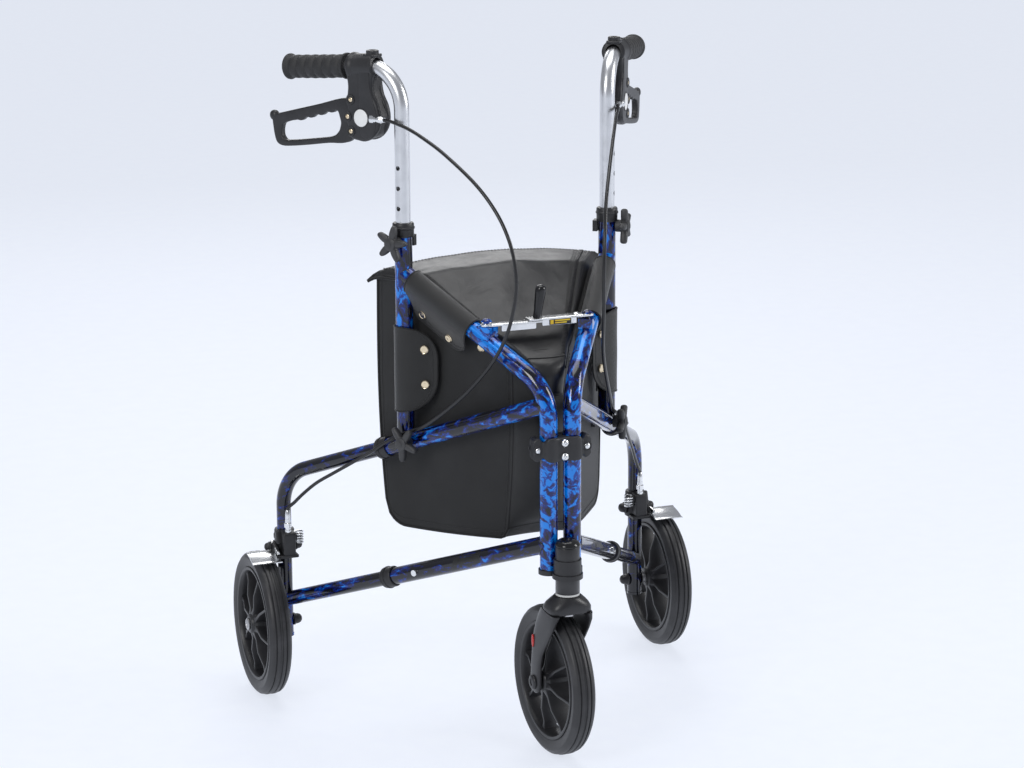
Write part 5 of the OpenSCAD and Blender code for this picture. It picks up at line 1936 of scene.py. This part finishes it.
def corner_curve(u, long, corner_a, corner_b, reach):
    """A flap's length with rounded lower corners, u running along the tube."""
    a, b = u * long, (1 - u) * long
    cut = 0
    for away, corner in ((a, corner_a), (b, corner_b)):
        if away < corner:
            cut = max(cut, corner - math.sqrt(max(0, corner ** 2 - (corner - away) ** 2)))
    return max(3.0, reach - cut)


def snap(shape, place, way):
    """A snap fastener: a rolled ring with a shallow domed cap, standing along a direction."""
    mesh = Shape()
    mesh.turned([(0, -1.6), (5.2, -1.6), (5.6, -0.4), (5.5, 0.8), (4.7, 1.5), (3.8, 1.1),
                 (2.6, 1.25), (0, 1.4)], (0, 0, 0), "x", 0, 28)
    turn = Vector((1, 0, 0)).rotation_difference(way.normalized()).to_matrix().to_4x4()
    shape.add(mesh.mesh([nickel]), 0, Matrix.Translation(place) @ turn)


def sleeve(side, word, rows, fasteners, name):
    mesh = cloth_shell([(0, rows)], 1.3)
    edges = Shape()
    outline = [row[-1] for row in rows]
    edge_cord(edges, rows[0][:-1] + outline + rows[-1][-2::-1], 1.25)
    metal = Shape()
    for u, share in fasteners:
        row = rows[round(u * (len(rows) - 1))]
        column = FIRST_FLAP + round(share * FLAP_SPAN)
        spot, near = row[column], row[column - 2]
        along_tube = (rows[-1][8] - rows[0][8]).normalized()
        way = (spot - near).normalized().cross(along_tube)
        if way.dot(OUT_NOW[side]) < 0:
            way.negate()
        snap(metal, spot + way * 1.7, way * 1.3 + OUT_NOW[side])
    body = "side_frame_" + word
    first = name == "diagonal_sleeve"
    cloth = place_piece(name + "_" + word, dressed(mesh, [duck_smooth], at_hinge(), 60), body,
                        ("bag_sleeve_" + word,) if first else ())
    wide, long = (rows[0][8] - rows[-1][8]).length * MM, length_of(rows[len(rows) // 2]) * MM
    round(grid_area(rows) * MM * MM, 5)
    print(name, word, round(wide, 3), "by", round(long, 3), "m")
    place_piece(name + "_tape_" + word, edges.mesh([tape], at_hinge(), 50), body)
    place_piece(name + "_snaps_" + word, metal.mesh([nickel], at_hinge(), 40), body)
    line = metres(raised([row[-3] for row in rows[2:-2]], OUT_NOW[side], 0.85), at_hinge())
    seam = along_path.grow(path_mesh([line], [OUT_NOW[side]]), Part=stitch, Gap=0.0044,
                           Finish=thread_black)
    place_piece(name + "_seam_" + word, seam, body)


for side, word in SIDES:
    low_end, high_end = (plane_point(side, back, diagonal_up(back)) for back in (116, 209))
    along_tube = (high_end - low_end).normalized()
    down = -(UP_WAY - along_tube * along_tube.z).normalized()
    rows = sleeve_rows(side, low_end, high_end, down,
                       lambda u: corner_curve(u, 109, 20, 30, 47), 24)
    sleeve(side, word, rows, ((0.24, 0.74), (0.70, 0.66)), "diagonal_sleeve")
    foot, head = (plane_point(side, UPRIGHT_BACK, up) for up in (414, 522))
    rows = sleeve_rows(side, foot, head, -BACK_NOW[side],
                       lambda u: corner_curve(u, 108, 46, 40, 47), 23)
    sleeve(side, word, rows, ((0.34, 0.68), (0.76, 0.64)), "upright_sleeve")
LOOSE_SNAP_BACK, LOOSE_SNAP_UP = 116, 505
loose = Shape()
for side in (LEFT, RIGHT):
    x, y = plan(side, -BAG_INSET + 2.6, LOOSE_SNAP_BACK)
    snap(loose, Vector((x, y, LOOSE_SNAP_UP)), OUT_NOW[side])
bag_piece("panel_snaps", loose.mesh([nickel], at_hinge(), 40))
print("sleeves ready")

# %% [markdown]
# ## Brake cables
#
# Each cable leaves its housing forward, swings out and down in a wide arc and runs along the
# middle tube to the brake. Its route is the mechanical model's own, made smooth.

# %% Cables
CABLE_ROUTE = (
    (9.5, 245, 781), (11.5, 234, 781), (14, 223, 780), (16, 200, 775), (19, 174, 766),
    (23, 138, 750), (28, 88, 720), (31, 55, 690), (34, 34, 660), (35, 24, 630),
    (35, 22, 600), (34, 28, 570), (31, 40, 540), (27, 59, 510), (24, 85, 480),
    (22, 116, 450), (19, 150, 423), (15, 182, 401), (14.5, 197, 394), (14.5, 212, 388),
    (15.5, 228, 380), (17.5, 246, 369), (17.5, 262, 358), (15, 285, 344), (13, 310, 329),
    (11, 337, 313), (9, 365, 296), (8, 388, 278), (8.5, 404, 263))
CABLE_RADIUS = 2.25
for side, word in SIDES:
    route = [at(side, *p) / MM for p in CABLE_ROUTE]
    route += [at_leg(side, 0, -18, up) / MM for up in (252, 239.3)]
    path = flowing(route, 6)
    cable = Shape()
    cable.run(path, CABLE_RADIUS, 14)
    piece = place_piece("cable_" + word, cable.mesh([cable_jacket], TO_METRES, 70),
                        None, ("brake_cable_" + word,))
    tuple(at(side, 20, 120, 440))
    tuple(at(side, 20, 120, 775))
    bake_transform(piece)
    cap = Shape()
    cap.turned([(2.3, 238.9), (3.4, 238.9), (3.5, 243), (3.0, 250), (2.3, 251), (2.3, 238.9)],
               (0, -18, 0), "z", 0, 20)
    place_piece("cable_cap_" + word, cap.mesh([zinc], leg_matrix(side, 0, 0, 0), 40),
                "side_frame_" + word)
print("cables", round(length_of(path) * MM, 3), "m each")

# %% [markdown]
# The lower tube is brazed to the front tube, and the joint shows as a small smooth bead under
# the paint, a round bar run along the line where the two cylinders meet. A plain label with
# three coloured bars is wrapped on each lower tube: it is thin cloth_shell patches at the
# tube's radius, so that it follows the curve as a sticker does.


# %% Weld beads and tube labels
def saddle(side, back, up, slope, steps=40):
    """The line where a tube that runs back at a slope meets an upright tube ahead of it."""
    path = []
    tilt = math.atan(slope)
    for k in range(steps):
        a = math.tau * k / steps
        out, rise = TUBE_RADIUS * math.cos(a), TUBE_RADIUS * math.sin(a)
        reach = math.sqrt(max(0.01, TUBE_RADIUS ** 2 - min(out ** 2, TUBE_RADIUS ** 2 - 0.01)))
        path.append(at(side, out * 1.01, back + reach, up + rise / math.cos(tilt)
                       + slope * reach) / MM)
    return path


TUBE_RADIUS = 11.1
LABEL_TURN, LABEL_BACK = 30, 142
LABEL_PATCHES = (         # finish, start and end along the tube, turn from and to, lift
    (0, 0, 42, -34, 34, 0.12), (1, 3, 9, -24, 24, 0.3), (1, 13, 39, 8, 22, 0.3),
    (1, 13, 32, -20, -6, 0.3))
LOWER_SLOPE = (123.5 - 276.8) / LEG_BACK
for side, word in SIDES:
    beads = Shape()
    edge_cord(beads, saddle(side, 0, lower_up(0), LOWER_SLOPE), 1.5, True)
    bead_mesh = beads.mesh([paint_for["lower_tube_" + word]], TO_METRES, 60)
    place_piece("bead_" + word, bead_mesh, "side_frame_" + word)
    patches = []
    for number, first, last, low_turn, high_turn, lift in LABEL_PATCHES:
        radius = TUBE_RADIUS + lift
        grid = []
        for k in range(13):
            turn = math.radians(low_turn + (high_turn - low_turn) * k / 12 + LABEL_TURN)
            grid.append([at(side, radius * math.cos(turn), back,
                            lower_up(back) + radius * math.sin(turn)) / MM
                         for back in (LABEL_BACK - first, LABEL_BACK - last)])
        patches.append((number, grid))
    label = cloth_shell(patches, 0.16)
    place_piece("tube_label_" + word,
                dressed(label, [label_black, label_yellow], TO_METRES),
                "side_frame_" + word)
print("pieces", len(made_pieces))
